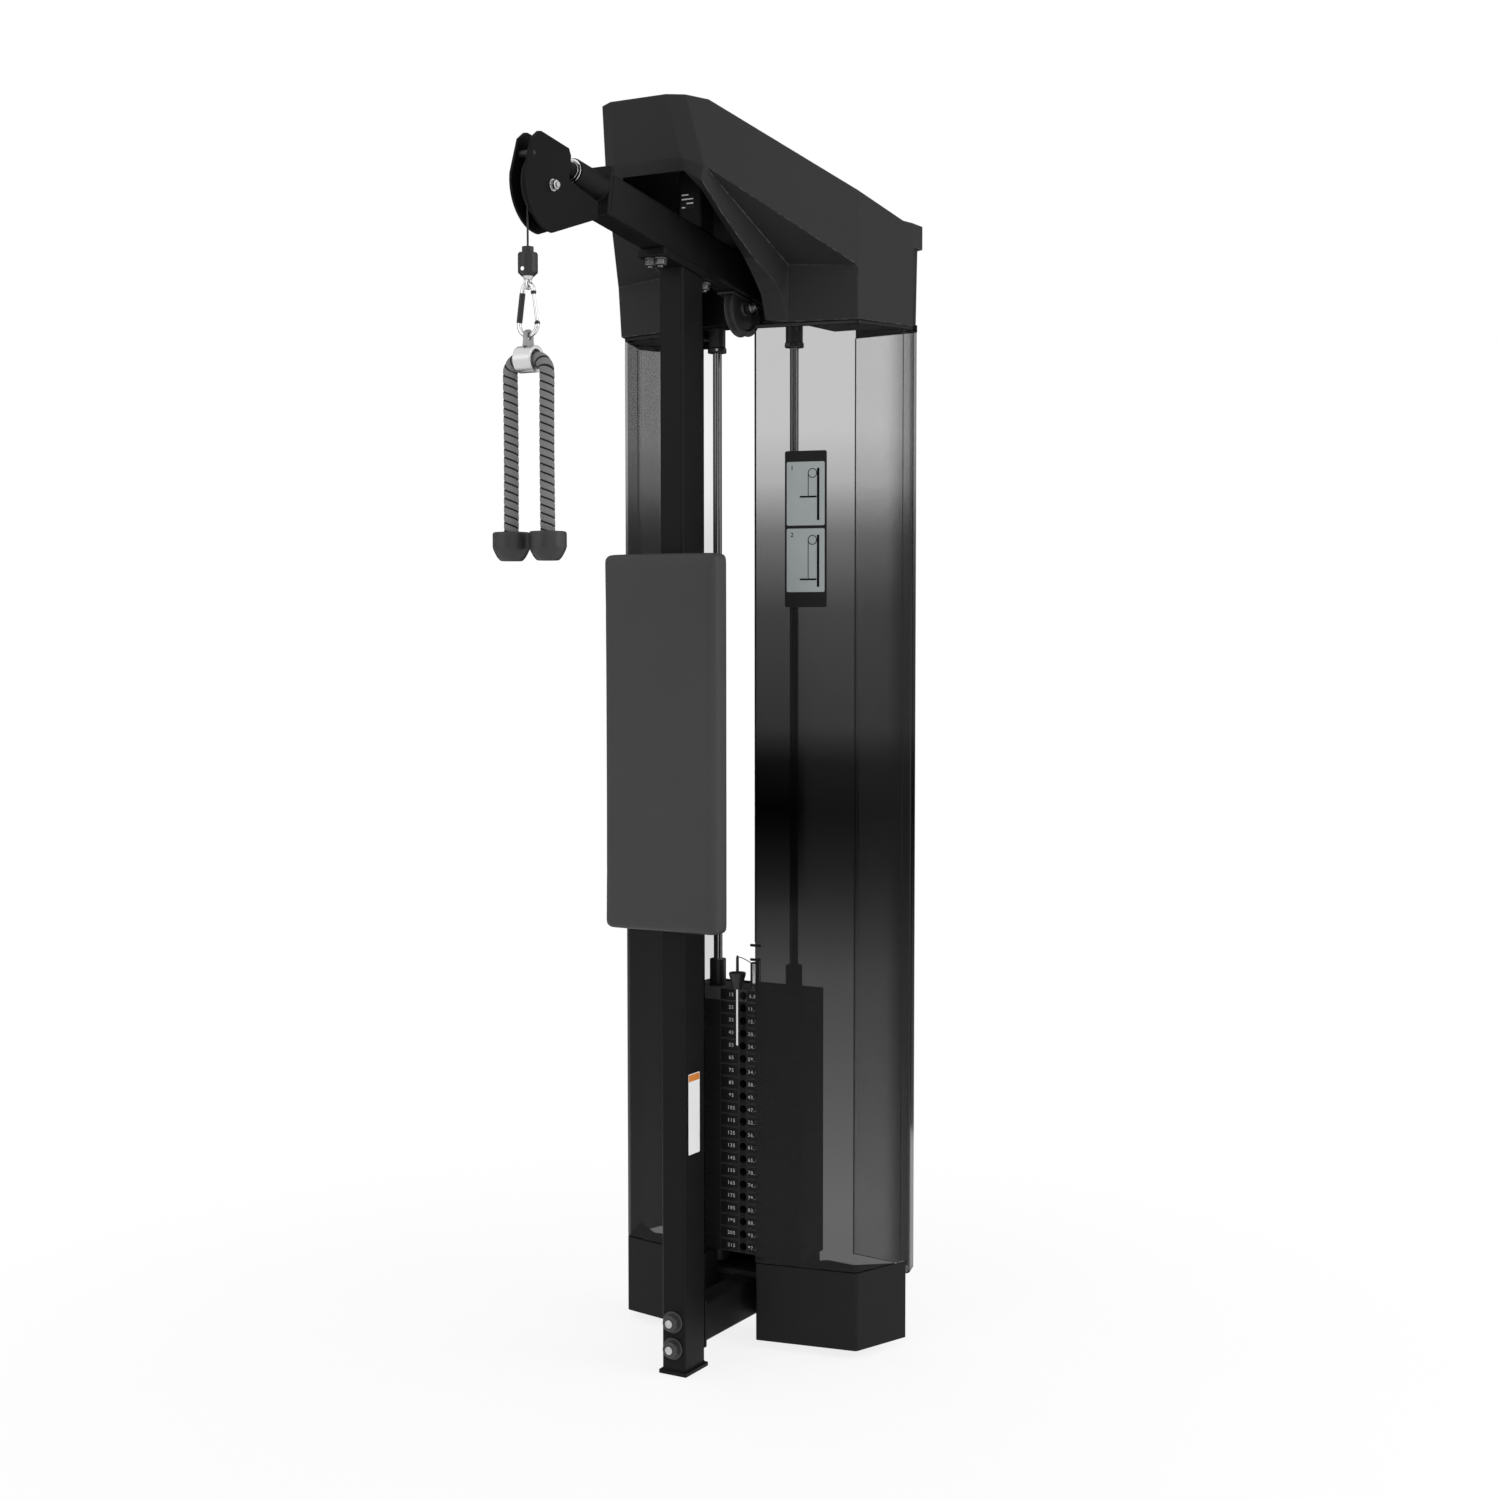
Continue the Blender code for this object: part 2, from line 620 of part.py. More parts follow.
def pulley(name, body, centre):
    rim, half = PULLEY_RADIUS, PULLEY_WIDE / 2
    upper = [
        (AXLE_BORE, half), (0.015, half), (0.017, half * 0.5), (0.043, half * 0.5), (0.0455, half),
        (rim - 0.001, half), (rim, half - 0.001), (GROOVE_RADIUS, 0.0028),
    ]
    profile = upper + [(r, -z) for r, z in reversed(upper)]
    turned(name, profile, "nylon", body, Matrix.Translation(centre) @ LIE_X, steps=24)


def wheel_bolt(name, body, centre, cheek_inner):
    seat = Vector((cheek_inner + CHEEK_THICK + GAP, 0, 0))
    bolt(name, "zinc", body, centre - seat, centre + seat, AXLE_RADIUS, AXLE_HEAD, AXLE_NUT)


def head_cheek_outline():
    return arc((0, 0), CHEEK_ARC_RADIUS, *CHEEK_ARC, 12) + CHEEK_REAR_CORNERS + CHEEK_TOP_CORNERS


def pulley_head():
    wheel = FRONT_WHEEL
    for side, name in ((-1, "pulley_cheek_left"), (1, "pulley_cheek_right")):
        middle = side * (FRONT_CHEEK_INNER + CHEEK_THICK / 2)
        place = Matrix.Translation((middle, wheel.y, wheel.z)) @ SIDE_ON
        hole = arc((0, 0), AXLE_RADIUS + GAP, 0, 337.5, 15)
        flat_plate(name, [head_cheek_outline(), hole], CHEEK_THICK, "powder_coat", "pulley_head", place)
    front = CHEEK_REAR + GAP - SWIVEL_TUBE_REAR
    flange_rear = SLEEVE_FRONT - GAP - SWIVEL_TUBE_REAR
    flange_front = flange_rear - SWIVEL_FLANGE_THICK
    profile = [
        (SWIVEL_TUBE_BORE, 0), (SWIVEL_TUBE_RADIUS, 0), (SWIVEL_TUBE_RADIUS, flange_rear),
        (SWIVEL_FLANGE_RADIUS, flange_rear), (SWIVEL_FLANGE_RADIUS, flange_front),
        (SWIVEL_NECK_RADIUS, flange_front), (SWIVEL_NECK_RADIUS, front), (SWIVEL_TUBE_BORE, front),
    ]
    place = Matrix.Translation(boom_point(SWIVEL_TUBE_REAR, SWIVEL_RISE)) @ BOOM_TURN @ LIE_Y
    swivel = turned("swivel_tube", profile, "chrome", "pulley_head", place, steps=32)
    gap = Vector((FRONT_CHEEK_INNER, 0, 0))
    cut(swivel, rod(wheel - gap, wheel + gap, PULLEY_RADIUS + WHEEL_CLEARANCE / 2, 48))
    pulley("front_pulley", "front_pulley_body", wheel)
    wheel_bolt("front_pulley_bolt", "pulley_head", wheel, FRONT_CHEEK_INNER)


def rear_pulley():
    y, z = REAR_WHEEL
    centre = Vector((0, y, z))
    pulley("rear_pulley", "rear_pulley_body", centre)
    wheel_bolt("rear_pulley_bolt", None, centre, REAR_CHEEK_INNER)
    seat = -TUBE_DEEP / 2 - GAP
    outer = REAR_CHEEK_INNER + CHEEK_THICK
    plate = rounded_box((-outer, BRACKET_FRONT, seat - CHEEK_THICK), (outer, BRACKET_REAR, seat), 0.003, 1)
    bracket = add_piece("rear_pulley_bracket", plate, "black_steel", matrix=BOOM_FRAME)
    for side in (-1, 1):
        low_x, high_x = sorted((side * REAR_CHEEK_INNER, side * outer))
        lug = BRACKET_LUG_HALF
        join(bracket, box((low_x, y - lug, z - lug), (high_x, y + lug, z + BRACKET_LUG_TOP)))
    half = PULLEY_WIDE / 2 + WHEEL_CLEARANCE
    reach = PULLEY_RADIUS + WHEEL_CLEARANCE
    cut(bracket, box((-half, y - reach, z - 0.02), (half, y + reach, z + 0.045)))
    cut(bracket, rod((-0.05, y, z), (0.05, y, z), AXLE_RADIUS + GAP))


def base():
    middle = (BEAM_BOTTOM + BEAM_TOP) / 2
    flange_front = TUBE_DEEP / 2 + GAP
    flange_rear = flange_front + FLANGE_THICK
    beam = tube(
        "base_beam", "powder_coat", flange_rear - OVERLAP, CROSS_FRONT - GAP,
        Matrix.Translation((0, 0, middle)) @ LIE_Y,
    )
    join(beam, box((-TUBE_WIDE / 2, flange_front, FLANGE_BOTTOM), (TUBE_WIDE / 2, flange_rear, FLANGE_TOP)))
    for height in POST_BOLT_HEIGHTS.values():
        cut(beam, rod((0, 0, height), (0, flange_rear + 0.02, height), POST_BOLT_RADIUS + GAP))
    tube(
        "rear_cross_beam", "powder_coat", -CROSS_HALF, CROSS_HALF,
        Matrix.Translation((0, CROSS_FRONT + TUBE_DEEP / 2, middle)) @ LIE_X, wide=TUBE_DEEP,
    )
    top = BEAM_BOTTOM - GAP
    profile = [(0, top), (0.008, top), (0.008, 0.014), (0.022, 0.010), (0.024, 0.006), (0.024, 0), (0, 0)]
    for side, name in ((-1, "rear_foot_left"), (1, "rear_foot_right")):
        place = Matrix.Translation((side * REAR_FOOT_X, STACK_Y, 0))
        turned(name, profile, "rubber", None, place, steps=20)
    half_wide, half_deep = STACK_WIDE / 2 + 0.001, STACK_DEEP / 2 + 0.0005
    seat = BEAM_TOP + GAP + BASE_PLATE_THICK
    plate = rounded_box(
        (-half_wide, STACK_Y - half_deep, BEAM_TOP + GAP), (half_wide, STACK_Y + half_deep, seat), 0.004, 1,
    )
    tray = add_piece("stack_base_plate", plate, "black_steel")
    rear = STACK_Y + half_deep
    low, high = (-UPSTAND_HALF, rear - UPSTAND_THICK, seat - OVERLAP), (UPSTAND_HALF, rear, UPSTAND_TOP)
    join(tray, box(low, high))


def guide_rods():
    floor = BEAM_TOP + BASE_PLATE_THICK + 2 * GAP
    bore = ROD_RADIUS + GAP
    bumper_top = plate_height(PLATE_COUNT) - PLATE_THICK / 2 - 2 * GAP
    bumper = [
        (bore, bumper_top), (0.0205, bumper_top), (BUMPER_RADIUS, bumper_top - 0.004),
        (BUMPER_RADIUS, floor), (bore, floor),
    ]
    collar_top = YOKE_BOTTOM - GAP
    collar_low = collar_top - COLLAR_TALL
    collar = [
        (bore, collar_top), (COLLAR_RADIUS, collar_top), (COLLAR_RADIUS, collar_low + 0.010),
        (COLLAR_RADIUS + 0.002, collar_low + 0.009), (COLLAR_RADIUS + 0.002, collar_low),
        (bore, collar_low),
    ]
    for side, hand in ((-1, "left"), (1, "right")):
        place = Matrix.Translation((side * ROD_X, STACK_Y, 0))
        shaft = rod((side * ROD_X, STACK_Y, floor), (side * ROD_X, STACK_Y, ROD_TOP), ROD_RADIUS, 20)
        smooth(shaft)
        add_piece("guide_rod_" + hand, shaft, "chrome")
        turned("stack_bumper_" + hand, bumper, "rubber", None, place, steps=20)
        turned("rod_collar_" + hand, collar, "black_steel", None, place, steps=20)


def rod_yoke():
    """Two hollow arms either side of the boom, joined by a plate behind its end."""
    low_y, high_y = YOKE_DEPTH
    back = box((-YOKE_HALF, high_y - OVERLAP, YOKE_BOTTOM), (YOKE_HALF, high_y + YOKE_BACK_THICK, YOKE_TOP))
    yoke = add_piece("rod_yoke", back, "powder_coat")
    for side in (-1, 1):
        low_x, high_x = sorted((side * YOKE_INNER, side * YOKE_HALF))
        join(yoke, box((low_x, low_y, YOKE_BOTTOM), (high_x, high_y, YOKE_ARM_TOP)))
        wall = TUBE_WALL
        low = (low_x - 0.01, low_y + wall, YOKE_BOTTOM + wall)
        high = (high_x + 0.01, high_y - wall, YOKE_ARM_TOP - wall)
        cut(yoke, box(low, high))
        cut(yoke, rod((side * ROD_X, STACK_Y, 2.0), (side * ROD_X, STACK_Y, 2.05), ROD_RADIUS + GAP, 20))


def plate_height(number):
    """Height of the middle of a weight plate, the head plate being number 0."""
    return HEAD_PLATE_TOP - 0.0127 - PLATE_PITCH * number


def plate_outline(low_z, high_z, inset=0.0):
    half_x, half_y = STACK_WIDE / 2 - inset, STACK_DEEP / 2 - inset
    return rounded_box(
        (-half_x, STACK_Y - half_y, low_z), (half_x, STACK_Y + half_y, high_z), 0.004, 1
    )


def bore_plate(piece, low_z, high_z, centre_radius, rod_radius, numbers):
    low_z, high_z = low_z - 0.02, high_z + 0.06
    cut(piece, rod((0, STACK_Y, low_z), (0, STACK_Y, high_z), centre_radius, 12))
    for x in (-ROD_X, ROD_X):
        cut(piece, rod((x, STACK_Y, low_z), (x, STACK_Y, high_z), rod_radius, 12))
    for number in numbers:
        z = plate_height(number)
        cut(piece, rod((0, STACK_Y - STACK_DEEP, z), (0, STACK_Y, z), PIN_HOLE_RADIUS, 8))


def weight_stack():
    for number in range(1, SINGLE_PLATES + 1):
        middle = plate_height(number)
        low, high = middle - PLATE_THICK / 2, middle + PLATE_THICK / 2
        piece = add_piece("weight_plate_%02d" % number, plate_outline(low, high), "plate_paint")
        bore_plate(piece, low, high, STEM_HOLE_RADIUS, ROD_HOLE_RADIUS, [number])
    rest = range(SINGLE_PLATES + 1, PLATE_COUNT + 1)
    low = plate_height(PLATE_COUNT) - PLATE_THICK / 2
    high = plate_height(rest[0]) + PLATE_THICK / 2
    block = add_piece("weight_plates_lower", plate_outline(low, high), "plate_paint")
    for number in rest[1:]:
        seam = plate_height(number) + PLATE_PITCH / 2
        ring = plate_outline(seam - GAP, seam + GAP, inset=-0.01)
        cut(block, ring_around(ring, seam))
    bore_plate(block, low, high, STEM_HOLE_RADIUS, ROD_HOLE_RADIUS, rest)


def ring_around(outer, seam):
    """The outer slab with its middle removed, to cut the seam between two plates of the lower block."""
    bm = bmesh.new()
    bm.from_mesh(outer)
    inner = plate_outline(seam - GAP, seam + GAP, inset=SEAM_DEEP)
    low_faces = [f for f in bm.faces if f.normal.z < -0.9]
    high_faces = [f for f in bm.faces if f.normal.z > 0.9]
    bmesh.ops.delete(bm, geom=low_faces + high_faces, context="FACES_ONLY")
    walls = [f for f in bm.faces]
    bm.from_mesh(inner)
    bm.faces.ensure_lookup_table()
    inner_faces = [f for f in bm.faces if f not in walls]
    caps = [f for f in inner_faces if abs(f.normal.z) > 0.9]
    bmesh.ops.reverse_faces(bm, faces=[f for f in inner_faces if f not in caps])
    bmesh.ops.delete(bm, geom=caps, context="FACES_ONLY")
    for z in (seam - GAP, seam + GAP):
        rim = [e for e in bm.edges if e.is_boundary and all(abs(v.co.z - z) < 1e-6 for v in e.verts)]
        bmesh.ops.bridge_loops(bm, edges=rim)
    bmesh.ops.recalc_face_normals(bm, faces=bm.faces)
    return from_bmesh("ring", bm)


def carriage():
    head = add_piece("head_plate", plate_outline(STACK_TOP, HEAD_PLATE_TOP), "plate_paint", "carriage")
    floor = HEAD_PLATE_TOP - TRAY_DEEP
    half_x, half_y = STACK_WIDE / 2 - TRAY_RIM, STACK_DEEP / 2 - TRAY_RIM
    cut(head, box((-half_x, STACK_Y - half_y, floor), (half_x, STACK_Y + half_y, HEAD_PLATE_TOP + 0.01)))
    for x in (-ROD_X, ROD_X):
        join(head, rod((x, STACK_Y, floor - 0.002), (x, STACK_Y, BUSHING_TOP), BUSHING_RADIUS, 20))
    bore_plate(head, STACK_TOP, HEAD_PLATE_TOP, STEM_RADIUS + GAP, ROD_RADIUS + 2 * GAP, [0])
    stem = add_piece(
        "selector_stem", rod((0, STACK_Y, STEM_BOTTOM), (0, STACK_Y, STEM_NECK), STEM_RADIUS, 12),
        "zinc", "carriage",
    )
    half = CLEVIS_HALF
    join(stem, box((-half, STACK_Y - half, STEM_NECK - 0.002), (half, STACK_Y + half, STEM_TOP)))
    radius, reach = CLEVIS_PIN
    for z in CLEVIS_PIN_HEIGHTS:
        join(stem, rod((-reach, STACK_Y, z), (reach, STACK_Y, z), radius, 10))
    for number in range(PLATE_COUNT + 1):
        z = plate_height(number)
        cut(stem, rod((0, STACK_Y - 0.03, z), (0, STACK_Y + 0.03, z), STEM_HOLE, 6))


def selector_pin():
    top = PIN_KNOB_TOP
    profile = [
        (0, top + 0.034), (0.003, top + 0.031), (0.003, top + 0.001), (0.0162, top), (0.017, top - 0.003),
        (0.008, top - 0.032), (0.0035, top - 0.034), (0.0035, PIN_TIP + 0.003), (0.002, PIN_TIP),
        (0, PIN_TIP),
    ]
    turned("selector_pin", profile, "rubber", "pin_body", Matrix.Translation((PIN_X, PIN_Y, 0)), steps=20)


def panel(name, kind, points, low, high, wall, shelf=()):
    """A sheet bent along a plan outline, its outer face on the outline.

    A shelf is the plan of a flat sheet on its top edge, anticlockwise, sharing points with the outline.
    """
    bm = swept_wall(points, low, high, closed=False)
    tops = [vert for vert in bm.verts if vert.co.z > (low + high) / 2]
    if shelf:
        rim = {(round(vert.co.x, 4), round(vert.co.y, 4)): vert for vert in tops}
        bm.faces.new([rim.get((round(x, 4), round(y, 4))) or bm.verts.new((x, y, high)) for x, y in shelf])
    piece = add_piece(name, from_bmesh(name, bm), kind)
    thicken(piece, wall)
    return piece


def shrouds():
    """Tinted shrouds, which reach lower behind the base covers, and the covers with a shelf inside each."""
    shelf = COVER_PLAN[:-1] + COVER_SHELF
    for hand, turn in (("left", mirrored), ("right", list)):
        shroud = panel(
            "shroud_" + hand, "tinted_acrylic", turn(PLAN), SHROUD_REAR_BOTTOM, SHROUD_TOP, SHROUD_WALL,
        )
        low = SHROUD_REAR_BOTTOM - 0.01
        cut(shroud, box((-0.5, 0, low), (0.5, SHROUD_STEP_Y, SHROUD_BOTTOM)))
        panel(
            "base_cover_" + hand, "cover_plastic", turn(COVER_PLAN), COVER_BOTTOM, COVER_TOP, COVER_WALL,
            turn(shelf),
        )


def hood():
    """A faceted moulding with a shelf inside each foot and an arched opening in front of the stack."""
    bm = bmesh.new()
    verts = {name: bm.verts.new(place) for name, place in HOOD_POINTS.items()}
    for names in HOOD_FACES:
        bm.faces.new([verts[name] for name in names.split()])
    bmesh.ops.recalc_face_normals(bm, faces=bm.faces)
    roof = max(bm.faces, key=lambda face: face.calc_center_median().z)
    if roof.normal.z < 0:
        bmesh.ops.reverse_faces(bm, faces=bm.faces)
    piece = add_piece("hood", from_bmesh("hood", bm), "hood_plastic")
    mirror = piece.modifiers.new("other half", "MIRROR")
    mirror.merge_threshold = 0.0001
    thicken(piece, HOOD_WALL)


def hood_support():
    post = tube(
        "hood_support", "powder_coat", SUPPORT_LOW, SUPPORT_HIGH, Matrix.Translation((0, SUPPORT_Y, 0)),
        wide=SUPPORT_WIDE, deep=SUPPORT_WIDE,
    )
    cut(post, box((-0.1, -0.3, -0.3), (0.1, 0.3, TUBE_DEEP / 2 + GAP)), BOOM_FRAME)
    front, rear = Vector(HOOD_POINTS["roof1"]), Vector(HOOD_POINTS["roof2"])
    slope = Matrix.Rotation(math.atan2(rear.z - front.z, rear.y - front.y), 4, "X")
    above = Matrix.Translation(front) @ slope
    cut(post, box((-0.1, -0.1, -HOOD_WALL - 0.001), (0.1, 0.5, 0.2)), above)


def back_pad():
    """A flat cushion with soft edges, its face a little fuller in the middle."""
    bm = bmesh.new()
    bmesh.ops.create_cube(bm, size=1.0)
    bmesh.ops.subdivide_edges(bm, edges=bm.edges, cuts=5, use_grid_fill=True)
    rear = -TUBE_DEEP / 2 - GAP
    size = Vector((2 * PAD_HALF, rear - PAD_FRONT, PAD_TOP - PAD_BOTTOM))
    middle = Vector((0, (rear + PAD_FRONT) / 2, (PAD_TOP + PAD_BOTTOM) / 2))
    for vert in bm.verts:
        u, depth, v = vert.co * 2
        fullness = (1 - u ** 4) * (1 - v ** 4)
        vert.co = middle + Vector(tuple(vert.co[k] * size[k] for k in range(3)))
        if depth < 0:
            vert.co.y += PAD_CROWN * (1 - fullness) * -depth
    piece = add_piece("back_pad", from_bmesh("back_pad", bm), "vinyl")
    soft = piece.modifiers.new("soft edges", "BEVEL")
    soft.width = PAD_CORNER
    soft.segments = 3
    soft.limit_method = "ANGLE"
    soft.angle_limit = math.radians(50)


def tangent_point(start, centre, radius):
    """Where a line from start touches a circle in the YZ plane, on its upper side."""
    line = Vector((start[0] - centre[0], start[1] - centre[1]))
    angle = math.atan2(line.y, line.x) - math.acos(radius / line.length)
    return angle, (centre[0] + radius * math.cos(angle), centre[1] + radius * math.sin(angle))


def cables():
    wheel = FRONT_WHEEL
    tangent = 90 - math.degrees(BOOM_TILT)
    over = arc((wheel.y, wheel.z), CABLE_PITCH_RADIUS, 180, tangent, 12)
    end = boom_point(SWIVEL_TUBE_REAR, SWIVEL_RISE)
    points = [(0, y, z) for y, z in over] + [tuple(end)]
    wire("cable_front_wrap", points, CABLE_RADIUS, "cable_sheath", "pulley_head")
    drop = rod((0, DROP_Y, STOP_TOP + GAP), (0, DROP_Y, wheel.z - GAP), CABLE_RADIUS, 8)
    add_piece("cable_front_drop", drop, "cable_sheath", "pulley_head")
    start = boom_point(SWIVEL_TUBE_REAR + GAP, SWIVEL_RISE)
    angle, touch = tangent_point((start.y, start.z), REAR_WHEEL, CABLE_PITCH_RADIUS)
    over = arc(REAR_WHEEL, CABLE_PITCH_RADIUS, math.degrees(angle), 0, 10)
    points = [tuple(start)] + [(0, y, z) for y, z in over]
    wire("cable_boom_run", points, CABLE_RADIUS, "cable_sheath")
    drop = rod((0, STACK_Y, STEM_TOP + GAP), (0, STACK_Y, REAR_WHEEL[1] - GAP), CABLE_RADIUS, 8)
    add_piece("cable_rear_drop", drop, "cable_sheath")


def ring(centre, radius, thick):
    """A ring standing in the YZ plane, as a welded mesh."""
    points = [(0, y, z) for y, z in arc((centre[1], centre[2]), radius, 0, 340, 17)]
    piece = wire("ring", points, thick, "zinc")
    piece.data.splines[0].use_cyclic_u = True
    return detached_mesh(piece)


def cable_stop():
    chamfer, body, neck = STOP_CHAMFER, STOP_RADIUS, STOP_NECK_RADIUS
    profile = [
        (0, STOP_TOP), (neck, STOP_TOP), (neck, STOP_TOP - 0.010), (body - 0.0015, STOP_TOP - 0.010),
        (body, STOP_TOP - 0.0125), (body, STOP_BOTTOM + chamfer), (body - chamfer, STOP_BOTTOM),
        (0, STOP_BOTTOM),
    ]
    stop = turned("cable_stop", profile, "nylon", "cable_end", Matrix.Translation((0, DROP_Y, 0)), steps=20)
    shank_end = EYE_CENTRE_Z + EYE_RADIUS - EYE_WIRE
    join(stop, rod((0, DROP_Y, shank_end + 0.001), (0, DROP_Y, STOP_BOTTOM + 0.002), 0.006, 16))
    join(stop, ring((0, DROP_Y, EYE_CENTRE_Z), EYE_RADIUS, EYE_WIRE))


def carabiner_tangent():
    """Angle above the X axis at which the carabiner's straight sides leave its two bends."""
    top = CARABINER_TOP - CARABINER_TOP_BEND
    bottom = CARABINER_BOTTOM + CARABINER_BOTTOM_BEND
    return math.asin((CARABINER_BOTTOM_BEND - CARABINER_TOP_BEND) / (top - bottom)), top, bottom


def carabiner_side(z):
    """The point of the right side's centre line at a height."""
    lean, _, bottom = carabiner_tangent()
    x = (CARABINER_BOTTOM_BEND - (z - bottom) * math.sin(lean)) / math.cos(lean)
    return Vector((x, DROP_Y, z))


def carabiner():
    lean, top, bottom = carabiner_tangent()
    degrees = math.degrees(lean)
    upper = arc((0, top), CARABINER_TOP_BEND, degrees, 180 - degrees, 10)
    lower = arc((0, bottom), CARABINER_BOTTOM_BEND, 180 - degrees, 360 + degrees, 16)
    ends = carabiner_side(GATE_HIGH), carabiner_side(GATE_LOW)
    points = [tuple(ends[0])] + [(x, DROP_Y, z) for x, z in upper + lower] + [tuple(ends[1])]
    hook = curve_to_mesh(wire("carabiner", points, CARABINER_WIRE, "chrome", "carabiner_body"))
    sleeve = [carabiner_side(z) * Vector((-1, 1, 1)) for z in SLEEVE_HEIGHTS]
    join(hook, rod(sleeve[0], sleeve[1], CARABINER_WIRE + 0.0012, 12))
    low, high = carabiner_side(GATE_LOW + GATE_CLEARANCE), carabiner_side(GATE_HIGH - 2 * GAP)
    gate = rod(low, high, GATE_WIRE, 10)
    smooth(gate)
    add_piece("carabiner_gate", gate, "chrome", "gate_body")


def smooth_route(points, per_span):
    """Points of a smooth curve through the given ones."""
    places = [Vector(p) for p in points]
    places = [2 * places[0] - places[1]] + places + [2 * places[-1] - places[-2]]
    route = []
    for k in range(1, len(places) - 2):
        a, b, c, d = places[k - 1:k + 3]
        for step in range(per_span):
            t = step / per_span
            route.append(
                0.5 * (2 * b + (c - a) * t + (2 * a - 5 * b + 4 * c - d) * t * t
                       + (3 * b - a - 3 * c + d) * t ** 3)
            )
    return route + [places[-2]]


def triceps_rope():
    leg = [(ROPE_X, ROPE_LOW), (ROPE_X - 0.0004, 1.640), (ROPE_X - 0.0008, 1.710), (ROPE_X - 0.0006, 1.780)]
    bend = arc((ROPE_X - ROPE_BEND, ROPE_CROWN - ROPE_BEND), ROPE_BEND, 0, 90, 4)
    side = leg + [(ROPE_X - 0.0001, 1.825)] + bend
    route = [(-x, DROP_Y, z) for x, z in side] + [(0, DROP_Y, ROPE_CROWN)]
    route += [(x, DROP_Y, z) for x, z in reversed(side)]
    wire("triceps_rope", smooth_route(route, 3), ROPE_RADIUS, "rope_fibre", "rope_body", resolution=3)
    top, low = ROPE_LOW - GAP, ROPE_END_BOTTOM
    big = ROPE_END_RADIUS
    profile = [
        (0, top), (big - 0.003, top), (big, top - 0.003), (big, low + 0.022), (big - 0.0075, low + 0.0055),
        (big - 0.0115, low), (0, low),
    ]
    for hand, x in (("left", -ROPE_X), ("right", ROPE_X)):
        place = Matrix.Translation((x, DROP_Y, 0))
        turned("rope_end_" + hand, profile, "rubber", "rope_body", place, steps=24)


def rope_collar():
    half = ROPE_COLLAR_HALF
    outer = rod((-half, DROP_Y, ROPE_CROWN), (half, DROP_Y, ROPE_CROWN), ROPE_COLLAR_RADIUS, 28)
    collar = add_piece("rope_collar", outer, "chrome", "rope_body")
    hole_z = CARABINER_BOTTOM - TAB_HOLE + CARABINER_WIRE + 3 * GAP
    thick = TAB_THICK / 2
    join(collar, box((-thick, DROP_Y - TAB_HALF, ROPE_CROWN), (thick, DROP_Y + TAB_HALF, hole_z)))
    join(collar, rod((-thick, DROP_Y, hole_z), (thick, DROP_Y, hole_z), TAB_HALF, 24))
    cut(collar, rod((-0.05, DROP_Y, ROPE_CROWN), (0.05, DROP_Y, ROPE_CROWN), ROPE_COLLAR_BORE, 24))
    cut(collar, rod((-0.05, DROP_Y, hole_z), (0.05, DROP_Y, hole_z), TAB_HOLE, 16))


def build():
    clear_scene()
    add_bodies()
    front_post()
    boom()
    swivel_sleeve()
    pulley_head()
    rear_pulley()
    base()
    guide_rods()
    rod_yoke()
    weight_stack()
    carriage()
    selector_pin()
    shrouds()
    hood()
    hood_support()
    back_pad()
    cables()
    cable_stop()
    carabiner()
    rope_collar()
    triceps_rope()


build()
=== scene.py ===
import math

import bmesh
import bpy
from mathutils import Matrix, Vector


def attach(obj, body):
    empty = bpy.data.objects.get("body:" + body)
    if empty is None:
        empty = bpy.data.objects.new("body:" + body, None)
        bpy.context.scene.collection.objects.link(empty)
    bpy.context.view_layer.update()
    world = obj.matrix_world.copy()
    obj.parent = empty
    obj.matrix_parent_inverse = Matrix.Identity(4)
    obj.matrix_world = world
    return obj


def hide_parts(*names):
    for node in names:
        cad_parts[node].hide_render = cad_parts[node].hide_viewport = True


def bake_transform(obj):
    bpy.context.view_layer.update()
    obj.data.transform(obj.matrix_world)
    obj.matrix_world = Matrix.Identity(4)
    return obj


# Looks for a high pulley triceps station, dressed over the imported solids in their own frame
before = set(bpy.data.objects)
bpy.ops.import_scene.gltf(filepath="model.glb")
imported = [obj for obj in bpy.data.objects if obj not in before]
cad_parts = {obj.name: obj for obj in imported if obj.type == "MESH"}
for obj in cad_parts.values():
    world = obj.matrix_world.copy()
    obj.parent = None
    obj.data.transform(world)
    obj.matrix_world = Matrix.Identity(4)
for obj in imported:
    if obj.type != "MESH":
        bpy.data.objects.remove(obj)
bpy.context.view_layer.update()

shop = bpy.context.scene
tau = 2 * math.pi


# ---- room: camera, floor, light

cameraLook = {
    "place": (2.164, -3.505, 1.421),
    "turn": (86.8, 0.03, 29.91),  # degrees
    "lens": 52.36,
    "sensor": 36.0,
}

roomLook = {
    "floorSize": 16.0,
    "floorColour": (0.93, 0.93, 0.93),
    "fadeFrom": 0.8,  # metres from the object where the floor starts to turn plain white
    "fadeTo": 2.0,
    "floorWhite": 0.82,  # share of plain white right under the object
    "skyDiffuse": 0.90,
    "keyPower": 42.5,
    "fillPower": 19.5,
    "cardTone": 0.015,
}


def linkUp(tree, *pairs):
    for source, target in pairs:
        tree.links.new(source, target)


def addNode(tree, kind, values=None, **settings):
    # one shader node, with its settings and the values of its sockets
    node = tree.nodes.new("ShaderNode" + kind)
    for name, value in settings.items():
        setattr(node, name, value)
    for socket, value in (values or {}).items():
        node.inputs[socket].default_value = value
    return node


def newMaterial(name):
    made = bpy.data.materials.new(name)
    made.use_nodes = True
    return made, made.node_tree, made.node_tree.nodes["Principled BSDF"]


def newMesh(name, bm):
    mesh = bpy.data.meshes.new(name)
    bm.to_mesh(mesh)
    bm.free()
    return mesh


